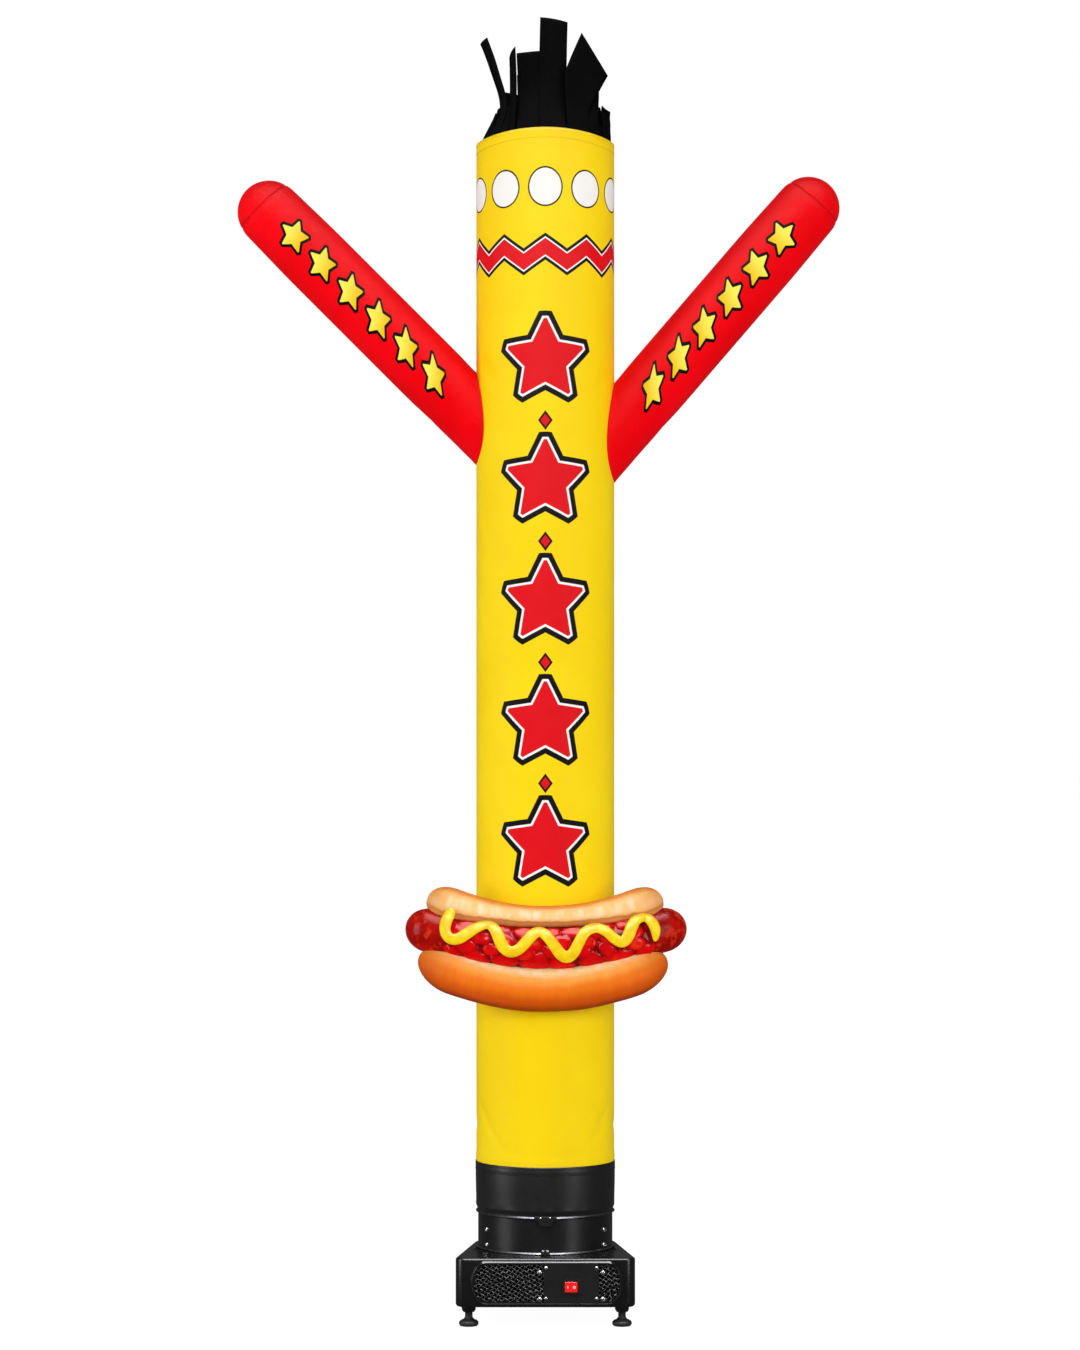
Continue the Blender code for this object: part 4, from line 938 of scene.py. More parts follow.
# %% Black vinyl
cuff_vinyl = Finish("cuff_vinyl", 0.42, Specular_IOR_Level=0.45, Coat_Weight=0.08,
                    Coat_Roughness=0.35)
grain = cuff_vinyl.cloud(900, detail=2.0)
cuff_vinyl.colour(cuff_vinyl.blend(cuff_vinyl.cloud(30), from_screen(11, 11, 12),
                                   from_screen(18, 18, 19)))
cuff_vinyl.rough(cuff_vinyl.between(cuff_vinyl.cloud(60), 0.3, 0.7, 0.40, 0.45))
cuff_vinyl.bump(cuff_vinyl.cloud(12, detail=1.0), 0.0008, 0.3).bump(grain, 0.00012, 0.5)
print("vinyl: %d nodes" % len(cuff_vinyl.tree.nodes))

# %% [markdown]
# The hoop clamps the cuff's lower edge, where it dips a little and flutes, and the
# cuff widens above the hoop to take the tube. A hem stands out near its top.

# %% Shape of the cuff
CUFF_WALL, CUFF_BOTTOM = 0.0012, 0.2295
CUFF_INSIDE = ((CUFF_BOTTOM, 0.1503), (0.2380, 0.1503), (0.2480, 0.1532),
               (0.3150, 0.1543), (CUFF_TOP, 0.1543))
HOOP_Z = {"lower": 0.1550, "upper": 0.2338}


def cuff_inside(z):
    """Inner radius of the cuff: straight runs between a few heights."""
    for (low, one), (high, two) in zip(CUFF_INSIDE, CUFF_INSIDE[1:]):
        if z <= high:
            return one + (two - one) * smooth_step((z - low) / (high - low))
    return CUFF_INSIDE[-1][1]


def cuff_spot(across, share):
    """Where a point of the flat cuff ends up."""
    bearing = 2 * math.pi * across
    z = CUFF_BOTTOM + (CUFF_TOP - CUFF_BOTTOM) * share
    radius = cuff_inside(z) + CUFF_WALL
    radius += 0.0004 * smooth_step((0.006 - abs(z - (CUFF_TOP - 0.012))) / 0.004)
    flutes = math.sin(19 * bearing + 2 * math.sin(4 * bearing))
    radius += 0.0005 * flutes * hill(z, 0.2480, 0.006)
    radius -= 0.0004 * hill(z, HOOP_Z["upper"], 0.0030)
    return Vector((radius * math.sin(bearing), -radius * math.cos(bearing), z))


CUFF_ROUND = 2 * math.pi * (CUFF_INSIDE[-1][1] + CUFF_WALL)
print("cuff: %.0f mm tall, %.0f mm round" % (
    1000 * (CUFF_TOP - CUFF_BOTTOM), 1000 * CUFF_ROUND))

# %% [markdown]
# The cuff is rolled like the tube, given the vinyl's greater wall, and sewn to the
# tube's end with two rows of black thread in its hem.

# %% Make the cuff
bm = rolled_cloth(160, 44, cuff_spot, CUFF_ROUND, CUFF_TOP - CUFF_BOTTOM)
cuff = thicken(to_piece(bm, "cuff_vinyl_band", cuff_vinyl, "cuff_vinyl", sharp=None),
               CUFF_WALL)
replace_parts(cuff, "base_cuff")

bm = bmesh.new()
for z in (CUFF_TOP - 0.0055, CUFF_TOP - 0.0185):
    stitch_row(bm, around(cuff_inside(z) + CUFF_WALL + 0.0002, z), pitch=0.0058)
to_piece(bm, "cuff_stitches", black_thread, "cuff_vinyl", sharp=None)
print("cuff:", len(cuff.data.polygons), "faces before its wall")

# %% [markdown]
# ## Turned pieces
# The drum, hoops, feet, bosses, screws and cable gland are all turned shapes. Each
# is a profile spun round an axis in many steps, so that its outline looks round. The
# same profiles as the solids keep every piece in its place.

# %% Helper for turned pieces
def spun(profile, steps, axis=(0, 0, 1), at=(0, 0, 0)):
    """Spin a profile of (radius, distance along) round an axis, closed at both ends."""
    bm = bmesh.new()
    verts = [bm.verts.new((r, 0, z)) for r, z in profile]
    edges = [bm.edges.new(pair) for pair in zip(verts, verts[1:])]
    if profile[0][0] > 0:
        edges.append(bm.edges.new((verts[-1], verts[0])))
    bmesh.ops.spin(bm, geom=verts + edges, cent=(0, 0, 0), axis=(0, 0, 1),
                   angle=2 * math.pi, steps=steps, use_merge=True)
    bmesh.ops.remove_doubles(bm, verts=bm.verts, dist=0.00001)
    turn = Vector((0, 0, 1)).rotation_difference(Vector(axis)).to_matrix().to_4x4()
    bmesh.ops.transform(bm, verts=bm.verts, matrix=Matrix.Translation(at) @ turn)
    return bm


def plastic(name, dark, light, gloss, grain_depth=0.00004):
    """Moulded black plastic: a fine spark grain and faint clouds."""
    made = Finish(name, gloss, Specular_IOR_Level=0.5)
    made.colour(made.blend(made.between(made.cloud(9), 0.3, 0.75), dark, light))
    made.rough(made.between(made.cloud(45), 0.25, 0.75, gloss - 0.02, gloss + 0.03))
    return made.bump(made.cloud(1100, detail=1.5), grain_depth, 0.6)


drum_plastic = plastic("drum_plastic", from_screen(8, 8, 9), from_screen(14, 14, 15), 0.34)
DECK, DRUM_R, DRUM_WALL, DRUM_TOP = 0.1525, 0.1500, 0.0025, 0.3300
low = DECK + 0.0003
drum = to_piece(spun(((DRUM_R, low), (DRUM_R, DRUM_TOP - 0.0012), (DRUM_R - 0.0012, DRUM_TOP),
                      (DRUM_R - DRUM_WALL, DRUM_TOP), (DRUM_R - DRUM_WALL, low)), 128),
                "drum_shell", drum_plastic, "drum_plastic")
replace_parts(drum, "drum")
print("drum: %.0f mm across" % (2000 * DRUM_R))

# %% [markdown]
# The hoops are bands of dark steel, drawn tight by a clasp with two bolts. The upper
# half of a hoop's face slopes back, so it catches the light from above as one thin
# bright line.

# %% Steel of the hoops and screws
def dark_steel(name, shade, gloss):
    """Darkened steel with a satin face, and paler clouds where it has worn."""
    made = Finish(name, gloss, Metallic=1.0)
    worn = made.between(made.cloud(60, detail=4.0), 0.50, 0.72)
    made.colour(made.blend(worn, from_screen(*shade), from_screen(*(c + 40 for c in shade))))
    made.rough(made.between(made.cloud(90, detail=2.0), 0.3, 0.7, gloss - 0.04, gloss + 0.05))
    return made.bump(made.cloud(900, detail=1.0), 0.00003, 0.3)


hoop_steel = dark_steel("hoop_steel", (86, 86, 89), 0.34)
screw_steel = dark_steel("screw_steel", (178, 178, 181), 0.18)
HOOP_INNER = {"lower": 0.1503, "upper": 0.1518}
HOOP_THICK, HOOP_TALL = 0.0033, 0.0044


def hoop_profile(inner, z):
    """Section of a hoop: a band whose upper half slopes back to its top edge."""
    half = HOOP_TALL / 2
    face = ((0.55, -1.0), (0.86, -0.92), (0.98, -0.74), (1.0, -0.52), (0.95, -0.36),
            (0.24, 0.88), (0.18, 0.95), (0.08, 1.0))
    return [(inner, z - half), *((inner + HOOP_THICK * out, z + half * up)
                                 for out, up in face), (inner, z + half)]


for place, inner in HOOP_INNER.items():
    hoop = to_piece(spun(hoop_profile(inner, HOOP_Z[place]), 144),
                    place + "_hoop_band", hoop_steel, "hoop_steel", sharp=50)
    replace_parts(hoop, place + "_hoop")
    print(place, "hoop at z = %.4f" % HOOP_Z[place])

# %% [markdown]
# The clasps are small flat plates. Each is its outline filled, pushed to its thickness
# and bevelled, like a plate cut on a press.

# %% Clasps
panel_plastic = plastic("panel_plastic", from_screen(8, 8, 9), from_screen(13, 13, 14), 0.40)
CLASP_THICK = 0.0016
CLASPS = {
    "upper": ((10.5, -18.0), (14.0, -14.0), (17.0, -5.4), (25.0, -3.4), (25.0, 3.4)),
    "lower": ((10.5, -2.0), (8.4, 9.5)),
}


def clasp_back(place):
    """Where a clasp's back lies, just in front of its hoop."""
    return -(HOOP_INNER[place] + HOOP_THICK) - 0.0002


def plate(outline, back, front):
    """Fill an outline of (x, z) at y = back and push it to y = front."""
    bm = bmesh.new()
    face = bm.faces.new([bm.verts.new((x, back, z)) for x, z in outline])
    pushed = bmesh.ops.extrude_face_region(bm, geom=[face])["geom"]
    bmesh.ops.translate(bm, vec=(0, front - back, 0),
                        verts=[v for v in pushed if isinstance(v, bmesh.types.BMVert)])
    return bm


def round_rectangle(wide, tall, cx, cz, corner, steps=6):
    """Outline of a rectangle with round corners, as (x, z) points."""
    points = []
    for index, (sx, sz) in enumerate(((1, -1), (1, 1), (-1, 1), (-1, -1))):
        for step in range(steps + 1):
            turn = math.radians(-90 + 90 * index + 90 * step / steps)
            points.append((cx + sx * (wide / 2 - corner) + corner * math.cos(turn),
                           cz + sz * (tall / 2 - corner) + corner * math.sin(turn)))
    return points


for place in HOOP_INNER:
    back = clasp_back(place)
    right = [(x * MM, HOOP_Z[place] + up * MM) for x, up in CLASPS[place]]
    outline = right + [(-x, up) for x, up in reversed(right)]
    clasp = to_piece(plate(outline, back, back - CLASP_THICK), place + "_clasp_plate",
                     panel_plastic, "panel_plastic")
    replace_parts(soften(clasp, 0.0004), place + "_clasp")
    print(place, "clasp: %.1f mm wide" % (2 * max(x for x, _ in right) * 1000))

# %% [markdown]
# Screws have low domed heads. A head is spun from one profile whose middle is sunk a
# little, where a driver would fit, so it catches a small shadow.

# %% Helpers for screws
def domed_head(radius, height, at, axis, steps=28):
    """A low domed head, sunk slightly at its middle."""
    dome = [(radius * math.sin(math.radians(90 * k / 7)),
             height * (0.25 + 0.75 * math.cos(math.radians(90 * k / 7)))) for k in range(1, 8)]
    dimple = ((0, height * 0.80), (radius * 0.14, height * 0.82), (radius * 0.22, dome[0][1]))
    return spun((*dimple, *dome[1:], (radius, 0), (0, 0)), steps, axis, at)


def place_screw(node, name, size, at, axis):
    """One screw of a size, (radius, height), in place of its node's solid."""
    head = to_piece(domed_head(*size, at, axis), name, screw_steel, "screw_steel", sharp=30)
    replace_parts(head, node)


print("screw steel: %d nodes" % len(screw_steel.tree.nodes))

# %% [markdown]
# Eight screws hold the drum. The panel and the guard have four each, and each clasp
# has two. The faces that they stand on are worked out from the housing's front.

# %% Screws and bolts
HOUSING_FRONT = -0.2020
GUARD_THICK, PANEL_THICK = 0.0018, 0.0025
PANEL_FACE = HOUSING_FRONT - 0.0006 - GUARD_THICK - PANEL_THICK
PANEL_X, INLET_X, INLET_Z = 0.0566, 0.0030, 0.0985
GUARD_SCREW_X, GUARD_SCREWS_Z = 0.0690, (0.0630, 0.1210)
number = 0
for degrees in (60, -60, 120, -120):
    out = Vector((math.sin(math.radians(degrees)), -math.cos(math.radians(degrees)), 0))
    for z in (0.1640, 0.1977):
        number += 1
        place_screw("drum_screw_%d" % number, "drum_bolt_%d" % number, (0.0062, 0.0042),
                    out * (DRUM_R - 0.0002) + Vector((0, 0, z)), out)
for row, dz in enumerate((-0.0335, 0.0335)):
    for column, dx in enumerate((-0.0553, 0.0553)):
        number = 2 * row + column + 1
        place_screw("panel_screw_%d" % number, "panel_bolt_%d" % number, (0.0041, 0.0026),
                    (PANEL_X + dx, PANEL_FACE - 0.0001, INLET_Z + dz), (0, -1, 0))
for row, z in enumerate(GUARD_SCREWS_Z):
    for column, dx in enumerate((-GUARD_SCREW_X, GUARD_SCREW_X)):
        number = 2 * row + column + 1
        place_screw("guard_screw_%d" % number, "guard_bolt_%d" % number, (0.0055, 0.0032),
                    (PANEL_X + dx, PANEL_FACE + PANEL_THICK, z), (0, -1, 0))
for place, dx, dz in (("lower", 0.0052, 0.0055), ("upper", 0.0105, 0.0)):
    for number, side in enumerate((-1, 1)):
        place_screw("%s_clasp_bolt_%d" % (place, number + 1),
                    "%s_clasp_head_%d" % (place, number + 1), (0.0027, 0.0018),
                    (side * dx, clasp_back(place) - CLASP_THICK, HOOP_Z[place] + dz),
                    (0, -1, 0))
print("screws: 8 on the drum, 4 on the panel, 4 on the guard, 4 on the clasps")

# %% [markdown]
# ## The blower's housing
# The housing is a thin moulded shell: wide in front, round behind, flat on top. Its
# plan is two corner posts and a back arc joined by tangents. The inlet in its front
# has two straight sides and two oval ends.

# %% Plan of the housing
CORNER_X, CORNER_Y, CORNER_R, BACK_Y, BACK_R = 0.1725, -0.178, 0.024, 0.035, 0.162
HOUSING_FLOOR, HOUSING_WALL = 0.0448, 0.004
INLET_STRAIGHT, INLET_END, INLET_HALF = 0.263, 0.036, 0.049
BEZEL_WIDTH, INLET_LEDGE = 0.0050, 0.0095


def side_bearing():
    """Direction that the housing's straight side faces, as an angle from +X."""
    reach = Vector((CORNER_X, CORNER_Y - BACK_Y))
    return math.atan2(reach.y, reach.x) + math.acos((BACK_R - CORNER_R) / reach.length)


def housing_plan(inset):
    """Outline of the housing from above, drawn in by an inset."""
    side = side_bearing()
    runs = ((CORNER_X, CORNER_Y, CORNER_R, -math.pi / 2, side, 14),
            (0.0, BACK_Y, BACK_R, side, math.pi - side, 60),
            (-CORNER_X, CORNER_Y, CORNER_R, math.pi - side, 1.5 * math.pi, 14))
    return [(cx + (radius - inset) * math.cos(first + (last - first) * step / steps),
             cy + (radius - inset) * math.sin(first + (last - first) * step / steps))
            for cx, cy, radius, first, last, steps in runs for step in range(steps + 1)]


def stadium(inset, steps=40):
    """Outline of the inlet, drawn in by an inset, as (x, z) points."""
    return [(INLET_X + side * (INLET_STRAIGHT / 2
                               + (INLET_END - inset) * math.cos(math.radians(turn))),
             INLET_Z + side * (INLET_HALF - inset) * math.sin(math.radians(turn)))
            for side in (1, -1) for turn in (-90 + 180 * step / steps
                                             for step in range(steps + 1))]


def closed_loop(bm, points):
    """Edges of a closed loop through points."""
    verts = [bm.verts.new(point) for point in points]
    return [bm.edges.new(pair) for pair in zip(verts, verts[1:] + verts[:1])]


print("plan: %d points" % len(housing_plan(0)))

# %% [markdown]
# Plans of different inset are stacked and bridged, which rounds the top and bottom
# edges. The deck's round mouth and the inlet are left open where loops are filled
# between. The inlet's edge is turned inwards as a narrow lip, which keeps the front
# wall flat in the light, and Solidify then gives the whole shell its 4 mm wall.

# %% Stack the plans and open the shell
MOUTH_R, INLET_LIP = 0.1405, 0.0040
housing_plastic = plastic("housing_plastic", from_screen(8, 8, 9), from_screen(14, 14, 15), 0.26,
                          grain_depth=0.00002)
bottom_round, deck_round, steps = 0.007, 0.0055, 6
layers = [(bottom_round * (1 - math.sin(math.radians(90 * k / steps))),
           HOUSING_FLOOR + bottom_round * (1 - math.cos(math.radians(90 * k / steps))))
          for k in range(steps + 1)]
layers += [(deck_round * (1 - math.cos(math.radians(90 * k / steps))),
            DECK - deck_round * (1 - math.sin(math.radians(90 * k / steps))))
           for k in range(steps + 1)]
bm = bmesh.new()
rings = [closed_loop(bm, [(x, y, z) for x, y in housing_plan(inset)]) for inset, z in layers]
for lower, upper in zip(rings, rings[1:]):
    bmesh.ops.bridge_loops(bm, edges=lower + upper)
bmesh.ops.holes_fill(bm, edges=rings[0])
mouth = closed_loop(bm, [(MOUTH_R * math.cos(2 * math.pi * k / 96),
                          MOUTH_R * math.sin(2 * math.pi * k / 96), DECK) for k in range(96)])
bmesh.ops.triangle_fill(bm, edges=rings[-1] + mouth, use_beauty=True)
front = max((f for f in bm.faces if abs(f.calc_center_median().y - HOUSING_FRONT) < 1e-5),
            key=lambda f: f.calc_area())
rim = list(front.edges)
bmesh.ops.delete(bm, geom=[front], context="FACES_ONLY")
inlet = closed_loop(bm, [(x, HOUSING_FRONT, z) for x, z in stadium(INLET_LEDGE)])
bmesh.ops.triangle_fill(bm, edges=rim + inlet, use_beauty=True)
lip = bmesh.ops.extrude_edge_only(bm, edges=inlet)["geom"]
bmesh.ops.translate(bm, vec=(0, INLET_LIP, 0),
                    verts=[v for v in lip if isinstance(v, bmesh.types.BMVert)])
housing = thicken(to_piece(bm, "housing_shell", housing_plastic, "housing_plastic", sharp=30),
                  HOUSING_WALL)
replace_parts(housing, "housing")
print("housing:", len(housing.data.polygons), "faces before its wall")

# %% [markdown]
# The bezel is a frame round the inlet with a wide sloping face and a rounded lip. The
# sloping face is what shines as a bright band along its top. Its section is bridged
# from outline to outline of the inlet's own shape, and closed back on itself.

# %% Bezel
bezel_plastic = plastic("bezel_plastic", from_screen(14, 14, 15), from_screen(22, 22, 23),
                        0.16, grain_depth=0.00002)
back = HOUSING_FRONT - 0.0003
bm = bmesh.new()
section = [(inset * MM, back - deep * MM) for inset, deep in (
    (0.0, 0.0), (0.0, 0.9), (0.1, 1.2), (0.3, 1.5), (3.5, 4.6), (3.8, 4.9), (4.1, 5.1),
    (4.5, 5.1), (4.8, 4.9), (4.95, 4.5), (5.0, 4.0), (5.0, 0.0))]
rings = [closed_loop(bm, [(x, y, z) for x, z in stadium(inset)]) for inset, y in section]
for one, other in zip(rings, rings[1:] + rings[:1]):
    bmesh.ops.bridge_loops(bm, edges=one + other)
bezel = to_piece(bm, "inlet_bezel", bezel_plastic, "housing_plastic")
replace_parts(bezel, "grille_bezel")
print("bezel: %.0f by %.0f mm" % ((INLET_STRAIGHT + 2 * INLET_END) * 1000,
                                  2000 * INLET_HALF))

# %% [markdown]
# ## The wire guard
# The guard is woven wire mesh, clipped to the inlet and stopped behind the panel. A
# shallow dent crosses it, as a knock leaves one, and its slope turns a line of crests
# to the light.

# %% Steel and limits of the guard
guard_steel = Finish("guard_steel", 0.22, Metallic=0.5, Specular_IOR_Level=0.8)
guard_steel.colour(guard_steel.blend(guard_steel.cloud(70), from_screen(22, 22, 23),
                                     from_screen(38, 38, 40)))
guard_steel.rough(guard_steel.between(guard_steel.cloud(140), 0.3, 0.7, 0.16, 0.30))
MESH_PITCH, WIRE_R, CRIMP = 0.0082, 0.00100, 0.0012
MESH_TURNS = (-29, 50)
MESH_Y = HOUSING_FRONT - 0.0003 - GUARD_THICK / 2
PANEL_COVER = 0.0575                      # half width of the mesh that the panel hides
DENT_X, DENT_Z, DENT_ACROSS = -0.0980, 0.1180, (0.515, 0.857)


def window_plate(outline, window, back, front):
    """A plate with a window, from y = back to y = front."""
    bm = bmesh.new()
    edges = [edge for loop in (outline, window)
             for edge in closed_loop(bm, [(x, back, z) for x, z in loop])]
    bmesh.ops.triangle_fill(bm, edges=edges, use_beauty=True)
    pushed = bmesh.ops.extrude_face_region(bm, geom=list(bm.faces))["geom"]
    bmesh.ops.translate(bm, vec=(0, front - back, 0),
                        verts=[v for v in pushed if isinstance(v, bmesh.types.BMVert)])
    return bm


def dented(x, z):
    """How far the mesh bulges out along a soft dent that crosses its left half."""
    from_dent = (x - DENT_X) * DENT_ACROSS[0] + (z - DENT_Z) * DENT_ACROSS[1]
    return 0.0026 * hill(from_dent, 0.0, 0.0100) * hill(x, -0.0800, 0.0480)


def open_mesh(x, z):
    """Whether a point of the inlet lies in its rim and clear of the panel."""
    inset = BEZEL_WIDTH + 0.0014
    beyond = max(abs(x - INLET_X) - INLET_STRAIGHT / 2, 0.0)
    inside = math.hypot(beyond / (INLET_END - inset), (z - INLET_Z) / (INLET_HALF - inset)) < 1
    return inside and abs(x - PANEL_X) > PANEL_COVER


print("mesh: a wire every %.1f mm, at %s degrees" % (1000 * MESH_PITCH, MESH_TURNS))

# %% [markdown]
# Each wire is crimped, over one wire and under the next, so its crests catch the light
# as a field of small bright dots. Every wire is one bead along its zigzag line. Four
# washers under the screws belong to the same piece.

# %% Weave the wires
bm = bmesh.new()
wires = 0
for family, degrees in enumerate(MESH_TURNS):
    along = Vector((math.cos(math.radians(degrees)), 0, math.sin(math.radians(degrees))))
    beside = Vector((-along.z, 0, along.x))
    for line in range(-30, 31):
        run = []
        for step in range(-130, 131):
            place = (Vector((INLET_X, MESH_Y, INLET_Z)) + beside * (line * MESH_PITCH)
                     + along * (step * MESH_PITCH / 4))
            if open_mesh(place.x, place.z):
                weave = math.cos(math.pi * (step / 4 + line + family))
                bold = 1 + 0.5 * noise.noise(place * 22)
                forward = CRIMP * weave * bold + dented(place.x, place.z)
                run.append(place - Vector((0, forward, 0)))
            if (not open_mesh(place.x, place.z) or step == 130) and run:
                if len(run) > 4:
                    sizes = [(WIRE_R * 1.25, WIRE_R * 0.75)] * len(run)
                    sizes[0] = sizes[-1] = (0.0, 0.0)
                    bead(bm, run, [Vector((0, -1, 0))] * len(run), sizes, WIRE_SIDES)
                    wires += 1
                run = []
for z in GUARD_SCREWS_Z:
    for dx in (-GUARD_SCREW_X, GUARD_SCREW_X):
        join_bmesh(bm, spun(((0, 0), (0.0062, 0), (0.0062, 0.0016), (0.0058, 0.0019),
                             (0, 0.0019)), 32, (0, -1, 0), (PANEL_X + dx, MESH_Y + 0.0009, z)))
guard = to_piece(bm, "wire_mesh", guard_steel, "guard_steel", sharp=50)
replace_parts(guard, "mesh_guard")
print("guard:", wires, "wires,", len(guard.data.polygons), "faces")

# %% [markdown]
# A plain plastic rim holds the mesh inside the bezel. Dark shows through the mesh
# because a near-black sheet lies behind it, in the same outline, just inside the shell:
# a sheet of painted shade that stands for the dark inside of the housing.

# %% Rim of the mesh, and the sheet of painted shade behind it
rim = window_plate(stadium(BEZEL_WIDTH + 0.0003), stadium(BEZEL_WIDTH + 0.0020),
                   MESH_Y + 0.0009, MESH_Y - 0.0009)
to_piece(rim, "mesh_rim", panel_plastic, "panel_plastic", sharp=50)

SHADE_SHEET_BACK, SHADE_SHEET_THICK = 0.0055, 0.0013
# painted shade: a near-black matte sheet behind the mesh stands for the dark inside of the housing
shade_sheet = Finish("shade_sheet", 0.95, Specular_IOR_Level=0.1)
shade_sheet.colour(shade_sheet.blend(shade_sheet.cloud(700), from_screen(3, 3, 3),
                                     from_screen(9, 9, 10)))
shade_sheet.bump(shade_sheet.cloud(900, detail=1.0), 0.0006, 1.0)
to_piece(plate(stadium(INLET_LEDGE + 0.0002), HOUSING_FRONT + SHADE_SHEET_BACK,
               HOUSING_FRONT + SHADE_SHEET_BACK - SHADE_SHEET_THICK), "inlet_shade_sheet", shade_sheet,
         "guard_steel")
print("filter: %.1f mm thick" % (1000 * SHADE_SHEET_THICK))

# %% [markdown]
# ## Panel and switch
# The panel is a flat plate with small round corners and a window for the switch. The
# window is left open by filling between two loops before the plate gets its thickness.

# %% Panel
SWITCH_X, SWITCH_Z = 0.0573, 0.0911
PANEL_SIZE, SWITCH_BODY, SWITCH_FLANGE = (0.120, 0.0865), (0.0350, 0.0266), (0.042, 0.031)
body_hole = round_rectangle(SWITCH_BODY[0] + 0.0004, SWITCH_BODY[1] + 0.0004,
                            SWITCH_X, SWITCH_Z, 0.0004, 1)
panel = to_piece(window_plate(round_rectangle(*PANEL_SIZE, PANEL_X, INLET_Z, 0.0030, 8),
                              body_hole, PANEL_FACE + PANEL_THICK, PANEL_FACE),
                 "panel_plate", panel_plastic, "panel_plastic", sharp=30)
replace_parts(soften(panel, 0.0010, 4), "control_panel")
print("panel: %s mm" % [round(1000 * side, 1) for side in PANEL_SIZE])

# %% [markdown]
# The switch is a flanged frame with a dished red rocker in it. Its body reaches back
# through the panel as an open box, and a plate closes the box behind.

# %% Switch frame
ROCKER_W, ROCKER_H, ROCKER_TILT, ROCKER_DEPTH = 0.0285, 0.0225, math.radians(8.0), 0.0080
FLANGE_THICK = 0.0020
rocker_reach = math.hypot(ROCKER_W / 2, ROCKER_DEPTH * 0.35)
window = round_rectangle(2 * rocker_reach + 0.0010, ROCKER_H + 0.0006, SWITCH_X, SWITCH_Z,
                         0.0006, 2)
flange_back = PANEL_FACE - 0.0003
bm = window_plate(round_rectangle(*SWITCH_FLANGE, SWITCH_X, SWITCH_Z, 0.0020, 6), window,
                  flange_back, flange_back - FLANGE_THICK)
switch_body = round_rectangle(*SWITCH_BODY, SWITCH_X, SWITCH_Z, 0.0004, 1)
join_bmesh(bm, window_plate(switch_body, window, flange_back + 0.015, flange_back + 0.0001))
join_bmesh(bm, plate(switch_body, flange_back + 0.017, flange_back + 0.0151))
switch_frame = to_piece(bm, "switch_bezel", panel_plastic, "panel_plastic", sharp=30)
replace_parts(soften(switch_frame, 0.0005, 3), "switch_frame")
print("switch flange: %s mm" % [round(1000 * side, 1) for side in SWITCH_FLANGE])

# %% [markdown]
# The rocker is the moulded solid itself, merged and bevelled. It is red plastic with a
# faint red emission: a painted glow, with no lamp inside it.

# %% Rocker
# a faint red emission paints a glow into the rocker; no lamp is built inside it
rocker_red = Finish("rocker_red", 0.22, Specular_IOR_Level=0.55, Coat_Weight=0.3,
                    Coat_Roughness=0.12, Emission_Color=(0.9, 0.01, 0.01, 1.0),
                    Emission_Strength=0.22)
rocker_red.colour(rocker_red.blend(rocker_red.cloud(70), from_screen(222, 14, 16),
                                   from_screen(240, 26, 22)))
rocker_red.bump(rocker_red.cloud(600), 0.00004, 0.4)

bm = bmesh.new()
bm.from_mesh(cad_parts["rocker"].data)
bmesh.ops.remove_doubles(bm, verts=bm.verts, dist=0.00002)
bmesh.ops.dissolve_limit(bm, angle_limit=math.radians(1), verts=bm.verts, edges=bm.edges)
rocker = to_piece(bm, "rocker_key", rocker_red, "rocker_plastic", rides="switch_rocker",
                  sharp=30)
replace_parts(soften(rocker, 0.0007, 4, 25), "rocker")
print("rocker: tilted %.0f degrees at rest" % math.degrees(ROCKER_TILT))

# %% [markdown]
# Two white marks, a bar and a ring, are the usual signs for on and off. They lie just
# over the two sloping faces of the rocker's dish, and tilt with it.

# %% Marks of the rocker
mark_white = Finish("mark_white", 0.4)
mark_white.colour(mark_white.blend(mark_white.cloud(900), from_screen(236, 236, 232),
                                   from_screen(252, 252, 250)))
HINGE = Vector((SWITCH_X, flange_back - FLANGE_THICK + ROCKER_DEPTH, SWITCH_Z))
MARK_ASIDE, MARK_THICK = 0.0072, 0.0003
dish_slope = math.tan(ROCKER_TILT) / 0.955      # a little steeper than the rocker's tilt


def on_rocker(bm, beside, lift=0.00025):
    """Put a mark drawn round the origin on one half of the rocker's dished face."""
    lean = math.atan(dish_slope) * (1 if beside > 0 else -1)
    depth = -ROCKER_DEPTH - 0.0004 - abs(beside) * dish_slope - lift
    place = (Matrix.Translation(HINGE) @ Matrix.Rotation(-ROCKER_TILT, 4, "Z")
             @ Matrix.Translation((beside, depth, 0)) @ Matrix.Rotation(-lean, 4, "Z"))
    bmesh.ops.transform(bm, verts=bm.verts, matrix=place)
    return bm


bm = on_rocker(plate(round_rectangle(0.0014, 0.0056, 0, 0, 0.0006, 4), MARK_THICK, 0.0),
               -MARK_ASIDE)
ring = bmesh.new()
loops = [closed_loop(ring, [(r * math.cos(2 * math.pi * k / 40), y,
                             r * math.sin(2 * math.pi * k / 40)) for k in range(40)])
         for r, y in ((0.0029, MARK_THICK), (0.0029, 0.0), (0.0018, 0.0), (0.0018, MARK_THICK))]
for one, other in zip(loops, loops[1:] + loops[:1]):
    bmesh.ops.bridge_loops(ring, edges=one + other)
join_bmesh(bm, on_rocker(ring, MARK_ASIDE))
to_piece(bm, "rocker_marks", mark_white, "rocker_plastic", rides="switch_rocker")
print("marks: %.1f mm each side of the hinge" % (1000 * MARK_ASIDE))
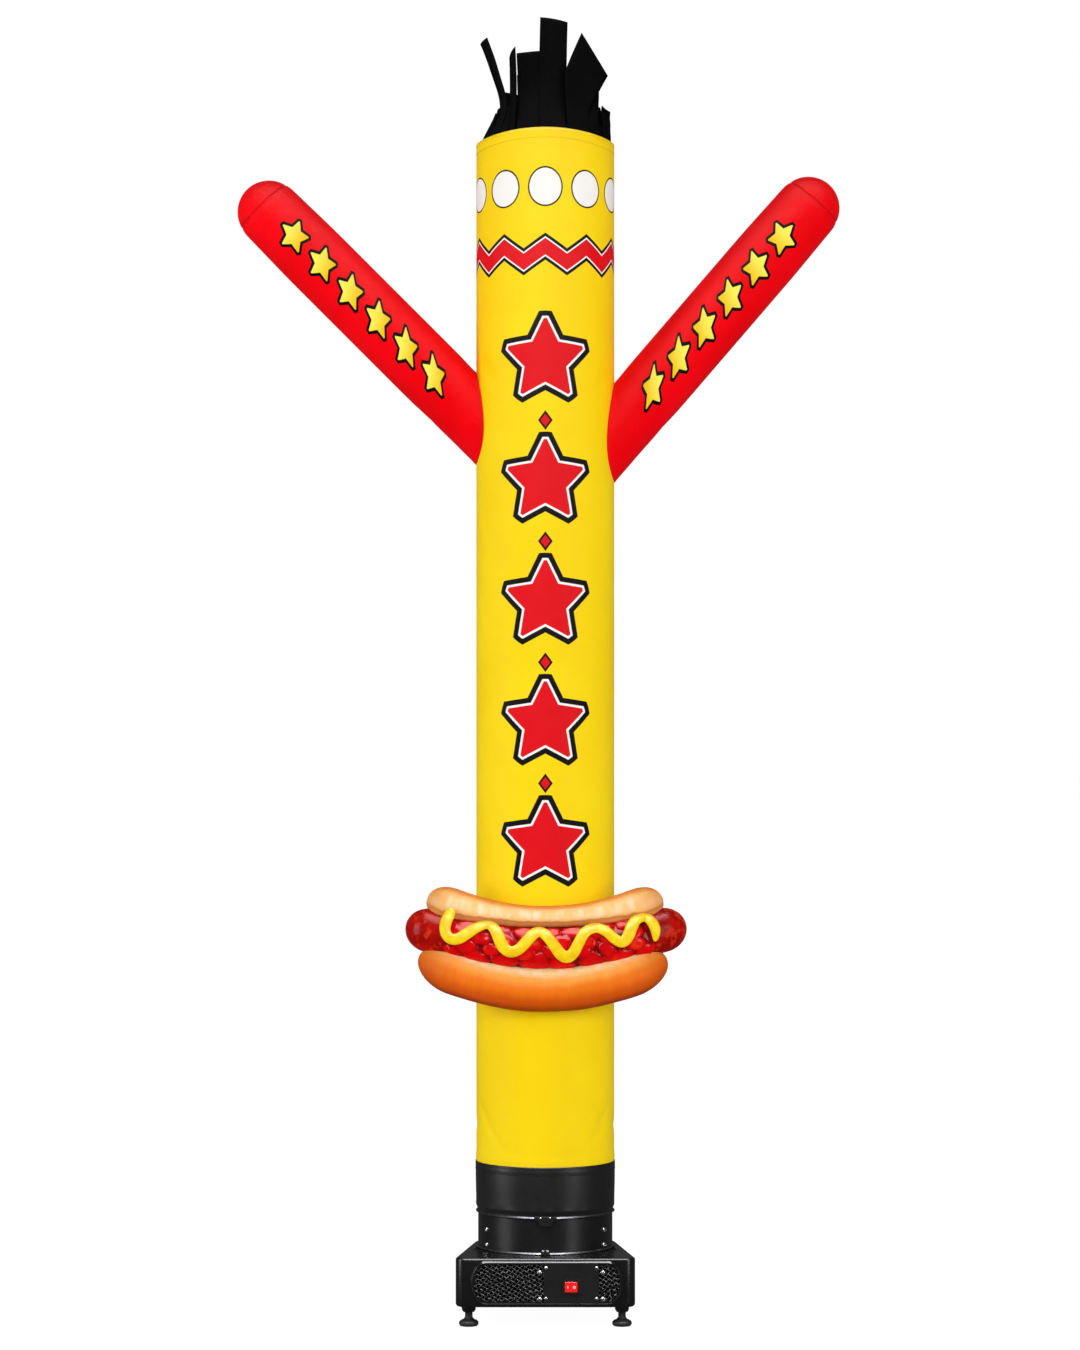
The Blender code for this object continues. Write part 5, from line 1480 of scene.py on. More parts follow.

# %% [markdown]
# ## Feet, bosses and cable gland
# Each rubber foot is a disc that narrows in a cone to its threaded stem, and its rubber
# turns paler within a few millimetres of the floor. The boss that takes the stem is tapered below.

# %% Feet
foot_rubber = Finish("foot_rubber", 0.5, Specular_IOR_Level=0.45)
foot_rubber.colour(foot_rubber.blend(
    foot_rubber.between(foot_rubber.across(foot_rubber.spot)[2], 0.0, 0.006, 0.55, 0.0),
    from_screen(30, 30, 31), from_screen(72, 70, 66)))
foot_rubber.bump(foot_rubber.cloud(800), 0.00015, 0.6)
FEET = {"front_left": (-0.168, -0.168), "front_right": (0.168, -0.168),
        "back_left": (-0.085, 0.139), "back_right": (0.085, 0.139)}
FOOT_R, FOOT_H, STEM_R, NECK_TOP = 0.0215, 0.0150, 0.0085, 0.0205
foot_profile = [(0, 0), (FOOT_R * 0.74, 0), (FOOT_R * 0.88, 0.0007), (FOOT_R * 0.95, 0.0026),
                (FOOT_R * 0.99, 0.0045), (FOOT_R, 0.0062), (FOOT_R, 0.0080),
                (FOOT_R * 0.97, 0.0100), (FOOT_R * 0.86, 0.0122), (FOOT_R * 0.72, 0.0138),
                (FOOT_R * 0.58, FOOT_H), (0.0098, 0.0178), (STEM_R, NECK_TOP)]
for k in range(15):
    z = NECK_TOP + 0.0012 + 0.0016 * k
    foot_profile += [(STEM_R - 0.0005, z), (STEM_R, z + 0.0006), (STEM_R, z + 0.0010)]
foot_profile += [(STEM_R, 0.064), (0, 0.064)]
boss_profile = ((STEM_R + 0.0004, 0.0310), (0.0118, 0.0310), (0.0124, 0.0316),
                (0.0152, 0.0360), (0.0155, 0.0368), (0.0155, 0.0445), (STEM_R + 0.0004, 0.0445))
for place, (x, y) in FEET.items():
    foot = to_piece(spun(foot_profile, 48, at=(x, y, 0)), "levelling_foot_" + place,
                    foot_rubber, "foot_rubber", rides="leg_" + place, sharp=50)
    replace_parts(foot, "foot_" + place)
    boss = to_piece(spun(boss_profile, 48, at=(x, y, 0)), "stem_boss_" + place,
                    housing_plastic, "housing_plastic", sharp=35)
    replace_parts(boss, "boss_" + place)
print("feet: four, %.0f mm across" % (2000 * FOOT_R))

# %% [markdown]
# The gland at the back holds a mains lead: a nut, and a ribbed nose with a blind
# mouth. It is one profile, spun.

# %% Cable gland
gland_seat = BACK_Y + BACK_R + 0.0001
gland_profile = [(0, 0), (0.0106, 0), (0.0110, 0.0004), (0.0110, 0.0050), (0.0104, 0.0056),
                 (0.0082, 0.0062), (0.0082, 0.0095)]
gland_profile += [(0.0082 - 0.0020 * k / 10 - (0.0004 if k % 2 else 0.0), 0.0095 + 0.0007 * k)
                  for k in range(1, 10)]
GLAND_LONG = 0.0165
gland_profile += [(0.0062, GLAND_LONG), (0.0044, GLAND_LONG), (0.0040, 0.0161),
                  (0.0036, 0.0145), (0, 0.0145)]
gland = to_piece(spun(gland_profile, 6 * 8, (0, 1, 0), (0, gland_seat, 0.0900)),
                 "cable_clamp", panel_plastic, "panel_plastic", sharp=30)
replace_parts(gland, "cable_gland")
print("gland: %.1f mm long" % (1000 * GLAND_LONG))

# %% [markdown]
# ## The hot dog
# A stuffed toy hot dog is sewn to the tube's front. Its sausage and the two halves of
# its bun are lobes: rings of an oval section set along one curved line, drawn in to
# round ends. The line bows back round the tube and rises towards both ends.

# %% Lines of the lobes
DOG_BOW_R = 0.55
SAUSAGE = dict(left=-0.3031, right=0.3061, y=-0.179, z=0.8285, rise=0.036, at=0.26,
               high=0.0465, deep=0.040, swell=0.002, end=0.048)
BUN_LOWER = dict(left=-0.2756, right=0.2652, y=-0.191, z=0.7390, rise=0.050, at=0.235,
                 high=0.0485, deep=0.043, swell=0.0035, end=0.080)
BUN_UPPER = dict(left=-0.2589, right=0.2576, y=-0.169, z=0.8953, rise=0.022, at=0.20,
                 high=0.0253, deep=0.036, swell=0.0134, end=0.060)


def dog_line(lobe, x):
    """Centre of a lobe at x: raised towards its ends and bowed back round the tube."""
    bow = DOG_BOW_R - math.sqrt(DOG_BOW_R ** 2 - x ** 2)
    return Vector((x, lobe["y"] + bow, lobe["z"] + lobe["rise"] * (x / lobe["at"]) ** 2))


def dog_frame(lobe, x):
    """Centre, and the lobe's own up and forward directions there."""
    along = (dog_line(lobe, x + 0.0005) - dog_line(lobe, x - 0.0005)).normalized()
    forward = Vector((0, -1, 0))
    forward = (forward - along * forward.dot(along)).normalized()
    up = forward.cross(along)
    return dog_line(lobe, x), (up if up.z > 0 else -up), forward


def lobe_halves(lobe, x):
    """Half height and half depth of a lobe's section at x."""
    short = 1 - min(min(x - lobe["left"], lobe["right"] - x) / lobe["end"], 1.0)
    size = math.sqrt(max(1 - short * short, 0.0))
    return ((lobe["high"] + lobe["swell"] * (x / lobe["at"]) ** 2) * size,
            lobe["deep"] * size)


def lobe_x(lobe, share):
    """Place along a lobe, closer together near its two ends."""
    middle, half = (lobe["left"] + lobe["right"]) / 2, (lobe["right"] - lobe["left"]) / 2
    return middle - half * math.cos(math.pi * share)


print("hot dog: %.0f mm long" % (1000 * (SAUSAGE["right"] - SAUSAGE["left"])))

# %% [markdown]
# Where two lobes press on each other, the softer one gives way: a point that would
# lie inside its neighbour is pushed out to the neighbour's skin. The tube's wall
# pushes in the same way.

# %% Helpers that keep the lobes apart
def clear_of(point, lobe, gap):
    """Push a point out of a lobe's oval section, along the way from its centre."""
    if not lobe["left"] < point.x < lobe["right"]:
        return point
    centre, up, forward = dog_frame(lobe, point.x)
    high, deep = lobe_halves(lobe, point.x)
    away = point - centre
    rise, ahead = away.dot(up), away.dot(forward)
    depth = math.hypot(rise / (high + gap), ahead / (deep + gap)) if high > 0 else 2.0
    if depth >= 1.0:
        return point
    grow = 1.0 / max(depth, 0.05)
    return centre + away * grow


def clear_of_tube(point, gap=0.0006):
    """Push a point out of the tube's wall."""
    away = math.hypot(point.x, point.y)
    if away < TUBE_R + gap and point.z > TUBE_BOTTOM:
        return Vector((point.x, point.y, 0)) * ((TUBE_R + gap) / away) + Vector((0, 0, point.z))
    return point


print("a point on the tube's axis is pushed out to x = %.4f" % clear_of_tube(
    Vector((0.001, 0.0, 1.0))).x)

# %% [markdown]
# The bun halves are polyester plush cloth with a printed crust: pale along the edge that
# meets the filling and brown away from it. Near-white streaks of painted highlight cross
# the pale band, and the ends are darkened as painted shade. The colour follows each
# lobe's own round, so it sits in a UV map whose second part runs round the section. The
# stuffing shows as soft pleats across the inner edge.

# %% Cloth of the bun
def bun_cloth(name, ramp, pale, crumb_and_end_shade):
    """Crust printed round a lobe: ramp is (place round, colour) from its top edge.

    Pale streaks of painted highlight cross the band from pale[0] to pale[1]. The last colour
    darkens the crumb specks, and the ends turn to it as painted shade."""
    made = Finish(name, 0.5, Specular_IOR_Level=0.11, Subsurface_Weight=0.05,
                  Subsurface_Radius=(0.012, 0.005, 0.002))
    along, turn, _ = made.across(made.cloth)
    streaks = made.cloud(1.0, made.stretched(made.cloth, 46.0, 2.5, 1.0), detail=1.5)
    slow = made.cloud(1.0, made.stretched(made.cloth, 12.0, 3.0, 1.0), detail=2.0)
    fine = made.cloud(1.0, made.stretched(made.cloth, 160.0, 14.0, 1.0), detail=3.0)
    shifted = made.math("ADD", turn, made.math("ADD", *(
        made.math("MULTIPLY", made.math("SUBTRACT", cloud, 0.5), reach)
        for cloud, reach in ((streaks, 0.055), (slow, 0.045)))))
    ground = ramp[0][1]
    for (low, _), (high, ink) in zip(ramp, ramp[1:]):
        ground = made.blend(made.between(shifted, low, high), ground, ink)
    band = made.math("MULTIPLY", made.between(turn, pale[0] - 0.03, pale[0] + 0.03),
                     made.between(turn, pale[1] + 0.03, pale[1] - 0.03))
    # painted highlight: near-white streaks in the pale band stand for shine on the crust
    painted_highlight_streaks = made.math("MULTIPLY", made.between(streaks, 0.42, 0.72), band)
    ground = made.blend(made.math("MULTIPLY", painted_highlight_streaks, 0.70), ground, from_screen(255, 238, 206))
    crumb = made.math("MULTIPLY", made.between(fine, 0.45, 0.75), 0.09)
    ground = made.blend(crumb, ground, crumb_and_end_shade)
    # painted shade: both ends of the half darken towards the last colour
    far = made.between(made.math("ABSOLUTE", along), 0.16, 0.27, 0.0, 0.62)
    made.colour(made.blend(far, ground, crumb_and_end_shade))
    made.rough(made.between(fine, 0.3, 0.7, 0.44, 0.56))
    made.bump(made.cloud(36, detail=2.0), 0.0010, 0.35)
    return made.bump(made.cloud(1500, detail=1.0), 0.00010, 0.5)


# the turn runs from 0 at the top edge, forwards over 0.25 in front, to 0.5 below
# each call's last colour serves the crumb specks and the painted shade at the ends
bun_lower_cloth = bun_cloth(
    "bun_crust_cloth",
    ((0.00, from_screen(255, 226, 172)), (0.095, from_screen(254, 212, 146)),
     (0.175, from_screen(249, 156, 50)), (0.25, from_screen(244, 120, 12)),
     (0.35, from_screen(220, 88, 2)), (0.44, from_screen(180, 60, 0))),
    (0.02, 0.13), from_screen(198, 84, 6))
bun_upper_cloth = bun_cloth(
    "bun_crumb_cloth",
    ((0.00, from_screen(226, 120, 36)), (0.07, from_screen(240, 148, 58)),
     (0.14, from_screen(252, 192, 108)), (0.24, from_screen(255, 208, 138)),
     (0.285, from_screen(250, 196, 122)), (0.310, from_screen(204, 136, 72)),
     (0.34, from_screen(226, 162, 92)), (0.48, from_screen(186, 116, 50))),
    (0.15, 0.27), from_screen(214, 120, 40))
print("crust of a half: %d nodes" % len(bun_lower_cloth.tree.nodes))

# %% [markdown]
# A lobe is one closed sheet. Its grid takes its UV map from its place along the lobe
# and round it, so the crust's colours follow the round of the section.

# %% Helpers for lobes
def lobe_cloth(lobe, columns, rows, shape):
    """A lobe as one closed sheet: across runs along it, the turn runs round it."""
    bm = bmesh.new()
    bmesh.ops.create_grid(bm, x_segments=columns, y_segments=rows, size=0.5)
    wrap = bm.loops.layers.uv.new("cloth")
    for face in bm.faces:
        for loop in face.loops:
            share, turn = loop.vert.co.x + 0.5, loop.vert.co.y
            loop[wrap].uv = (lobe_x(lobe, share), abs(turn))
    for vert in bm.verts:
        share, turn = vert.co.x + 0.5, 2 * math.pi * vert.co.y
        vert.co = shape(lobe_x(lobe, share), turn)
    return bm


def oval(lobe, x, turn, lift=0.0):
    """A point on a lobe: turn 0 is its top, a quarter turn is its front."""
    centre, up, forward = dog_frame(lobe, x)
    high, deep = lobe_halves(lobe, x)
    grow = min(1.0, max(high, 0.0) / (0.5 * lobe["high"]))
    return (centre + up * ((high + lift * grow) * math.cos(turn))
            + forward * ((deep + lift * grow) * math.sin(turn)))


print("top of the sausage's middle: %.4f" % oval(SAUSAGE, 0.0, 0.0).z)

# %% [markdown]
# The stuffing draws the inner edge of each half into soft pleats, deepest where the
# edge meets the filling. Faint dents elsewhere keep the round from looking turned.

# %% Make the bun
def pleats(x, seed, pitch):
    """Uneven pleats across an edge, from 0 to 1."""
    place = x / pitch + 0.9 * noise.noise(Vector((x * 9, seed, 0)))
    return (0.5 + 0.5 * math.cos(2 * math.pi * place)) * (
        0.55 + 0.45 * noise.noise(Vector((x * 23, seed + 5, 0))))


def bun_shape(lobe, deep, seed, pitch, edge, dents, shift):
    """The shape of one half: pleats at an edge, (place round, reach), and dents."""
    def shape(x, turn):
        share = abs(math.remainder(turn, 2 * math.pi)) / math.pi
        lift = -deep * pleats(x, seed, pitch) * hill(share, *edge)
        lift += 0.0012 * noise.noise(Vector((x * dents, math.cos(turn) * 1.6,
                                             math.sin(turn) * 1.6 + shift)))
        return clear_of_tube(clear_of(oval(lobe, x, turn, lift), SAUSAGE, 0.0006))

    return shape


lower_shape = bun_shape(BUN_LOWER, 0.0028, 1.0, 0.026, (0.06, 0.16), 14, 0)
upper_shape = bun_shape(BUN_UPPER, 0.0026, 4.0, 0.030, (0.62, 0.26), 13, 3)
for node, name, lobe, shape, cloth_finish, slot_name in (
        ("bun_lower", "bun_half_lower", BUN_LOWER, lower_shape, bun_lower_cloth,
         "brown_bun_cloth"),
        ("bun_upper", "bun_half_upper", BUN_UPPER, upper_shape, bun_upper_cloth,
         "tan_bun_cloth")):
    half_bun = to_piece(lobe_cloth(lobe, 220, 90, shape), name, cloth_finish, slot_name,
                        sharp=None)
    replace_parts(half_bun, node)
    print(name, len(half_bun.data.polygons), "faces")

# %% [markdown]
# The sausage is shiny stretched cloth, dark red with printed clouds of bright red and
# orange, as if it had been grilled. Fine dents all over catch small highlights, as a
# tight skin does.

# %% Sausage
sausage_cloth = Finish("sausage_cloth", 0.30, Specular_IOR_Level=0.10, Coat_Weight=0.03,
                       Coat_Roughness=0.10)
spots = sausage_cloth.between(sausage_cloth.cloud(46, detail=4.0), 0.50, 0.66)
glow = sausage_cloth.between(sausage_cloth.cloud(14), 0.42, 0.68)
sausage_cloth.colour(sausage_cloth.blend(
    sausage_cloth.math("MULTIPLY", spots, 0.65),
    sausage_cloth.blend(glow, from_screen(150, 3, 0), from_screen(194, 14, 2)),
    from_screen(230, 56, 12)))
sausage_cloth.rough(sausage_cloth.between(spots, 0.0, 1.0, 0.22, 0.36))
sausage_cloth.bump(sausage_cloth.cloud(60, detail=3.0), 0.0010, 0.4)
sausage_cloth.bump(sausage_cloth.cloud(420, detail=2.0), 0.00020, 0.5)


def sausage_shape(x, turn):
    """The sausage's skin: its oval, with very faint dents."""
    lift = 0.0007 * noise.noise(Vector((x * 30, math.cos(turn) * 2, math.sin(turn) * 2)))
    return clear_of_tube(oval(SAUSAGE, x, turn, lift))


sausage = to_piece(lobe_cloth(SAUSAGE, 200, 72, sausage_shape), "sausage_link",
                   sausage_cloth, "sausage_cloth", sharp=None)
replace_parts(sausage, "sausage")
print("sausage:", len(sausage.data.polygons), "faces")

# %% [markdown]
# The relish is a padded strip of shiny red cloth, quilted into chunks like cut tomato.
# Its colour darkens to deep red in the seams between chunks as painted shade, and is
# bright on the chunks, with a warm spot at the heart of some. The mesh says how near a
# chunk's heart each point is.

# %% Cloth of the relish
relish_cloth = Finish("relish_cloth", 0.20, Specular_IOR_Level=0.07, Coat_Weight=0.20,
                      Coat_Roughness=0.05)
depth = relish_cloth.node("Attribute", out=2, attribute_name="chunk_heart")
# painted shade: the colour falls to deep red where the chunks are low, in the seams between them
red_with_seam_shade = relish_cloth.blend(relish_cloth.between(depth, 0.15, 0.85),
                           from_screen(112, 0, 0), from_screen(222, 2, 8))
red_with_seam_shade = relish_cloth.blend(relish_cloth.between(relish_cloth.cloud(40), 0.40, 0.66, 0.0, 0.6),
                           red_with_seam_shade, from_screen(232, 8, 12))
heart = relish_cloth.math("MULTIPLY", relish_cloth.between(depth, 0.72, 0.96),
                          relish_cloth.between(relish_cloth.cloud(22, detail=1.0), 0.44, 0.58))
relish_cloth.colour(relish_cloth.blend(heart, red_with_seam_shade, from_screen(238, 74, 18)))
relish_cloth.bump(relish_cloth.cloud(90, detail=2.0), 0.0008, 0.4)
print("relish cloth: %d nodes" % len(relish_cloth.tree.nodes))

# %% [markdown]
# The chunks lie in four rows along the sausage. Each row has its own height, start,
# pitch and size, and a seeded chance moves and turns each chunk a little, so that no
# two are alike and every run gives the same ones.

# %% Chunks of the relish
RELISH_THICK, RELISH_SPAN = 0.0085, (-0.205, 0.222)
RELISH_TURNS = (math.radians(-58), math.radians(62))
chance = random.Random(7)
chunks = []
for turn_at, first, pitch, size in (
        (-0.74, -0.190, 0.0570, 0.0325), (-0.18, -0.162, 0.0570, 0.0230),
        (0.30, -0.190, 0.0550, 0.0270), (0.84, -0.160, 0.0550, 0.0310)):
    x = first
    while x < RELISH_SPAN[1] - 0.006:
        chunks.append((x + chance.uniform(-0.005, 0.005), turn_at + chance.uniform(-0.08, 0.08),
                       size * chance.uniform(0.85, 1.12), chance.uniform(0.75, 1.0),
                       chance.uniform(-0.5, 0.5)))
        x += pitch * chance.uniform(0.92, 1.08)
print("relish:", len(chunks), "chunks")

# %% [markdown]
# One grid is laid over the sausage's front. Each chunk raises a soft cushion with a
# dimple in its top, and its rim falls to a seam between chunks. The strip thins out at
# its own edge, and the bun's halves press it back.

# %% Height of the relish
def sausage_surface(x, turn, lift):
    """A point round the sausage's front: turn 0 is straight ahead, positive is up."""
    centre, up, forward = dog_frame(SAUSAGE, x)
    return (centre + up * ((SAUSAGE["high"] + lift) * math.sin(turn))
            + forward * ((SAUSAGE["deep"] + lift) * math.cos(turn)))


def relish_height(x, turn):
    """Share of the relish's full height: domed chunks, each with a dimple in its top."""
    best = 0.04
    for cx, ct, size, tall, lean in chunks:
        if abs(x - cx) > 1.5 * size:
            continue
        aside, up = x - cx, (turn - ct) * 0.050
        aside, up = (aside * math.cos(lean) + up * math.sin(lean),
                     up * math.cos(lean) - aside * math.sin(lean))
        wobble = 1 + 0.16 * noise.noise(Vector((math.atan2(up, aside) * 1.3, cx * 90, 0)))
        away = math.hypot(aside / size, up / (size * 0.74)) / wobble
        if away < 1.0:
            dome = math.sqrt(1 - away ** 2.2) - 0.20 * hill(away, 0.0, 0.36)
            best = max(best, 0.04 + 0.96 * tall * dome)
    return best


def relish_place(across, share):
    """Where a point of the flat strip lies: its x, and its turn round the sausage."""
    return (RELISH_SPAN[0] + (RELISH_SPAN[1] - RELISH_SPAN[0]) * (across + 0.5),
            RELISH_TURNS[0] + (RELISH_TURNS[1] - RELISH_TURNS[0]) * share)


def relish_spot(across, share):
    """Where a point of the flat strip ends up."""
    x, turn = relish_place(across, share)
    edge = min(0.5 - abs(across), 0.5 - abs(share - 0.5))
    ragged = 1 + 0.5 * noise.noise(Vector((x * 40, turn * 2, 0)))
    lift = (RELISH_THICK * 0.97 * relish_height(x, turn)
            * smooth_step(edge * ragged / 0.035))
    point = sausage_surface(x, turn, 0.0004 + lift)
    point = clear_of(point, BUN_LOWER, 0.0002)
    return clear_of(point, BUN_UPPER, 0.0002)


print("relish at its middle: %.2f of its full height" % relish_height(*relish_place(0, 0.5)))

# %% [markdown]
# The height is also written on each vertex, as the value that the cloth's colours
# read. The strip is then closed behind by one face, so that it is a padded body.

# %% Make the relish
bm = rolled_cloth(360, 130, relish_spot, 1.0, 1.0)
heart_layer = bm.verts.layers.float.new("chunk_heart")
weave = bm.loops.layers.uv["cloth"]
for face in bm.faces:
    for loop in face.loops:
        loop.vert[heart_layer] = relish_height(*relish_place(*loop[weave].uv))
relish = to_piece(bm, "relish_chunks", relish_cloth, "relish_cloth", sharp=None)
bm = bmesh.new()
bm.from_mesh(relish.data)
rim_edges = [edge for edge in bm.edges if edge.is_boundary]
bmesh.ops.holes_fill(bm, edges=rim_edges)
bmesh.ops.recalc_face_normals(bm, faces=bm.faces)
bm.to_mesh(relish.data)
bm.free()
relish.data.shade_smooth()
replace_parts(relish, "relish")
print("relish:", len(relish.data.polygons), "faces")

# %% [markdown]
# The mustard is a fat bead of glossy yellow cloth, stuffed like piping. A little light
# enters it, so that its shaded side stays warm.

# %% Cloth of the mustard
mustard_cloth = Finish("mustard_cloth", 0.32, Specular_IOR_Level=0.20, Coat_Weight=0.04,
                       Coat_Roughness=0.10, Subsurface_Weight=0.05,
                       Subsurface_Radius=(0.006, 0.004, 0.001))
mustard_cloth.colour(mustard_cloth.blend(
    mustard_cloth.between(mustard_cloth.cloud(50), 0.35, 0.7),
    from_screen(247, 202, 4), from_screen(255, 224, 20)))
mustard_cloth.bump(mustard_cloth.cloud(90, detail=2.0), 0.0003, 0.4)
print("mustard cloth: %d nodes" % len(mustard_cloth.tree.nodes))

# %% [markdown]
# The mustard follows a smooth curve through the bends of its zigzag. The curve is drawn
# flat first, as seen from the front.

# %% Line of the mustard
# bends of the mustard, in millimetres: x, and height over the sausage's centre line
MUSTARD = (
    (-211, 56), (-209, 38), (-206, 18), (-199, 5), (-187, -1), (-172, 5), (-158, 19),
    (-144, 32), (-128, 40), (-113, 39), (-100, 27), (-88, 7), (-79, -3), (-68, -7),
    (-55, -2), (-43, 10), (-27, 30), (-12, 36), (3, 28), (18, 8), (30, -9), (43, -16),
    (55, -8), (68, 13), (82, 31), (101, 37), (117, 34), (129, 24), (139, 11), (152, 1),
    (165, 7), (178, 25), (192, 37), (209, 39), (220, 31), (223, 14), (221, -1), (217, -14))


def through(points, steps):
    """Smooth curve through points."""
    padded = [points[0] * 2 - points[1], *points, points[-1] * 2 - points[-2]]
    run = []
    for a, b, c, d in zip(padded, padded[1:], padded[2:], padded[3:]):
        for step in range(steps):
            t = step / steps
            run.append(0.5 * (2 * b + (c - a) * t + (2 * a - 5 * b + 4 * c - d) * t * t
                              + (3 * b - a - 3 * c + d) * t ** 3))
    run.append(points[-1])
    return run


route = through([Vector(row) * MM for row in MUSTARD], 14)
print("mustard: %d bends, %d points" % (len(MUSTARD), len(route)))

# %% [markdown]
# Each point of the line is then laid on what is behind it: the relish along the
# sausage, or the upper half of the bun where a bend climbs over it.

# %% Where the mustard lies
MUSTARD_WIDE, MUSTARD_THICK, MUSTARD_SEAT, BUN_CLEAR = 0.0128, 0.0048, 0.0082, 0.0040


def bun_front(spot):
    """How far forward the upper half of the bun stands at a spot's place and height."""
    centre = dog_line(BUN_UPPER, spot.x)
    high, deep = lobe_halves(BUN_UPPER, spot.x)
    share = (spot.z - centre.z) / high
    return centre.y - deep * math.sqrt(max(1 - share * share, 0.0))


def mustard_place(x, up):
    """Where the mustard lies on the relish or the bun, with the direction out of it."""
    turn = math.asin(max(-1, min(1, up / (SAUSAGE["high"] + RELISH_THICK))))
    lift = MUSTARD_SEAT + MUSTARD_THICK
    here = sausage_surface(x, turn, lift)
    out = (sausage_surface(x, turn, lift + 0.001) - here).normalized()
    over_bun = here.y - bun_front(here) + MUSTARD_THICK + BUN_CLEAR
    if over_bun > 0:
        here.y -= over_bun
        out = out.lerp(dog_frame(BUN_UPPER, x)[2], min(over_bun / BUN_CLEAR, 1.0)).normalized()
    return here, out


print("mustard's middle lies at y = %.4f" % mustard_place(0.0, 0.0)[0].y)

# %% [markdown]
# The laid line is smoothed, as stuffing would smooth it, and never dips behind its
# neighbours. The bead starts round and runs out thin, as it does from a bottle.

# %% Make the mustard
SMOOTH_REACH, SMOOTH_TIMES, RUN_OUT = 7, 16, 0.045
laid = [mustard_place(point.x, point.y) for point in route]
points = [here for here, _ in laid]
outs = [out for _, out in laid]
fronts = [point.y for point in points]
for index, point in enumerate(points):
    point.y = min(fronts[max(index - SMOOTH_REACH, 0):index + SMOOTH_REACH + 1])
for _ in range(SMOOTH_TIMES):
    points = [points[0]] + [(a + b * 2 + c) / 4 for a, b, c in zip(
        points, points[1:], points[2:])] + [points[-1]]
    outs = [outs[0]] + [((a + b * 2 + c) / 4).normalized() for a, b, c in zip(
        outs, outs[1:], outs[2:])] + [outs[-1]]
lengths = [0.0]
for one, two in zip(points, points[1:]):
    lengths.append(lengths[-1] + (two - one).length)
sizes = []
for run in lengths:
    start = math.sqrt(1 - (1 - min(run / MUSTARD_WIDE, 1.0)) ** 2)
    end = math.sqrt(1 - (1 - min((lengths[-1] - run) / RUN_OUT, 1.0)) ** 2)
    full = 1.0 + 0.05 * math.sin(run * 64)
    sizes.append((MUSTARD_WIDE * full * start * end, MUSTARD_THICK * 1.25 * start * end))
bm = bmesh.new()
bead(bm, points, outs, sizes, PIPING_SIDES)
mustard = to_piece(bm, "mustard_bead", mustard_cloth, "mustard_cloth", sharp=None)
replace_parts(mustard, "mustard")
print("mustard: bead of %d rings" % len(points))

# %% [markdown]
# ## The hair
# Strips of black nylon are sewn inside the rim and blow straight up in the escaping
# air. Their nylon is matt, and so dark that only their outline shows.

# %% Black nylon
black_nylon = Finish("black_nylon", 0.75, Specular_IOR_Level=0.01)
black_nylon.colour(black_nylon.blend(black_nylon.cloud(20), from_screen(2, 2, 2),
                                     from_screen(7, 7, 7)))
weave_into(black_nylon)
print("black nylon: %d nodes" % len(black_nylon.tree.nodes))

# %% [markdown]
# Each strip is a thin sheet of its own. Its width, height, lean and the slope of its
# cut end differ from its neighbours', because such strips are cut by hand.

# %% Table of the strips
HAIR_R, HAIR_ROOT = 0.1515, 2.600
HAIR_FIRST, HAIR_LEAN_HEIGHT, HAIR_WALL = -5.0, 0.125, 0.0008
# a strip each, from the front round by the right side; degrees and millimetres: wide,
# height and sideways shift of its left and right top corners, lean to the axis, and
# the share of its height at which each edge starts to turn aside
HAIR = (
    (23.5, (257, 6), (249, 5), 34, (0, 0)), (22.0, (226, 43), (143, 53), 14, (0.60, 0.36)),
    (14.0, (114, 9), (116, 14), 22, (0, 0)), (17.0, (82, 0), (78, 2), 3, (0, 0)),
    (18.0, (86, -4), (78, 0), 52, (0, 0)), (18.5, (96, 4), (104, 8), 30, (0, 0)),
    (18.0, (138, 0), (126, 4), 46, (0, 0)), (19.0, (158, -6), (166, -4), 30, (0, 0)),
    (19.0, (176, 2), (184, 12), 50, (0, 0)), (19.0, (168, 4), (178, 0), 26, (0, 0)),
    (17.5, (176, 8), (164, 6), 48, (0, 0)), (18.0, (120, 4), (130, 8), 40, (0, 0)),
    (18.0, (94, 0), (86, 4), 58, (0, 0)), (17.5, (74, 4), (82, 6), 50, (0, 0)),
    (17.0, (66, 0), (78, 4), 52, (0, 0)), (18.0, (86, 0), (98, 4), 51, (0, 0)),
    (8.5, (232, -90), (241, -87), 46, (0.25, 0.25)), (11.5, (96, 0), (88, 3), 50, (0, 0)),
    (7.0, (176, -6), (198, -9), 20, (0, 0)), (20.2, (184, -7), (183, -5), 36, (0, 0)),
)
print("tallest strip: %d mm" % max(max(row[1][0], row[2][0]) for row in HAIR))

# %% [markdown]
# A strip starts below the rim, inside the tube, where it is sewn. Above the rim it
# leans in towards the axis over a short height, bows across its width and waves a
# little, and its top may turn aside.

# %% Helper for a strip
SEWN_SHARE, SEWN_DEPTH = 0.12, 0.030


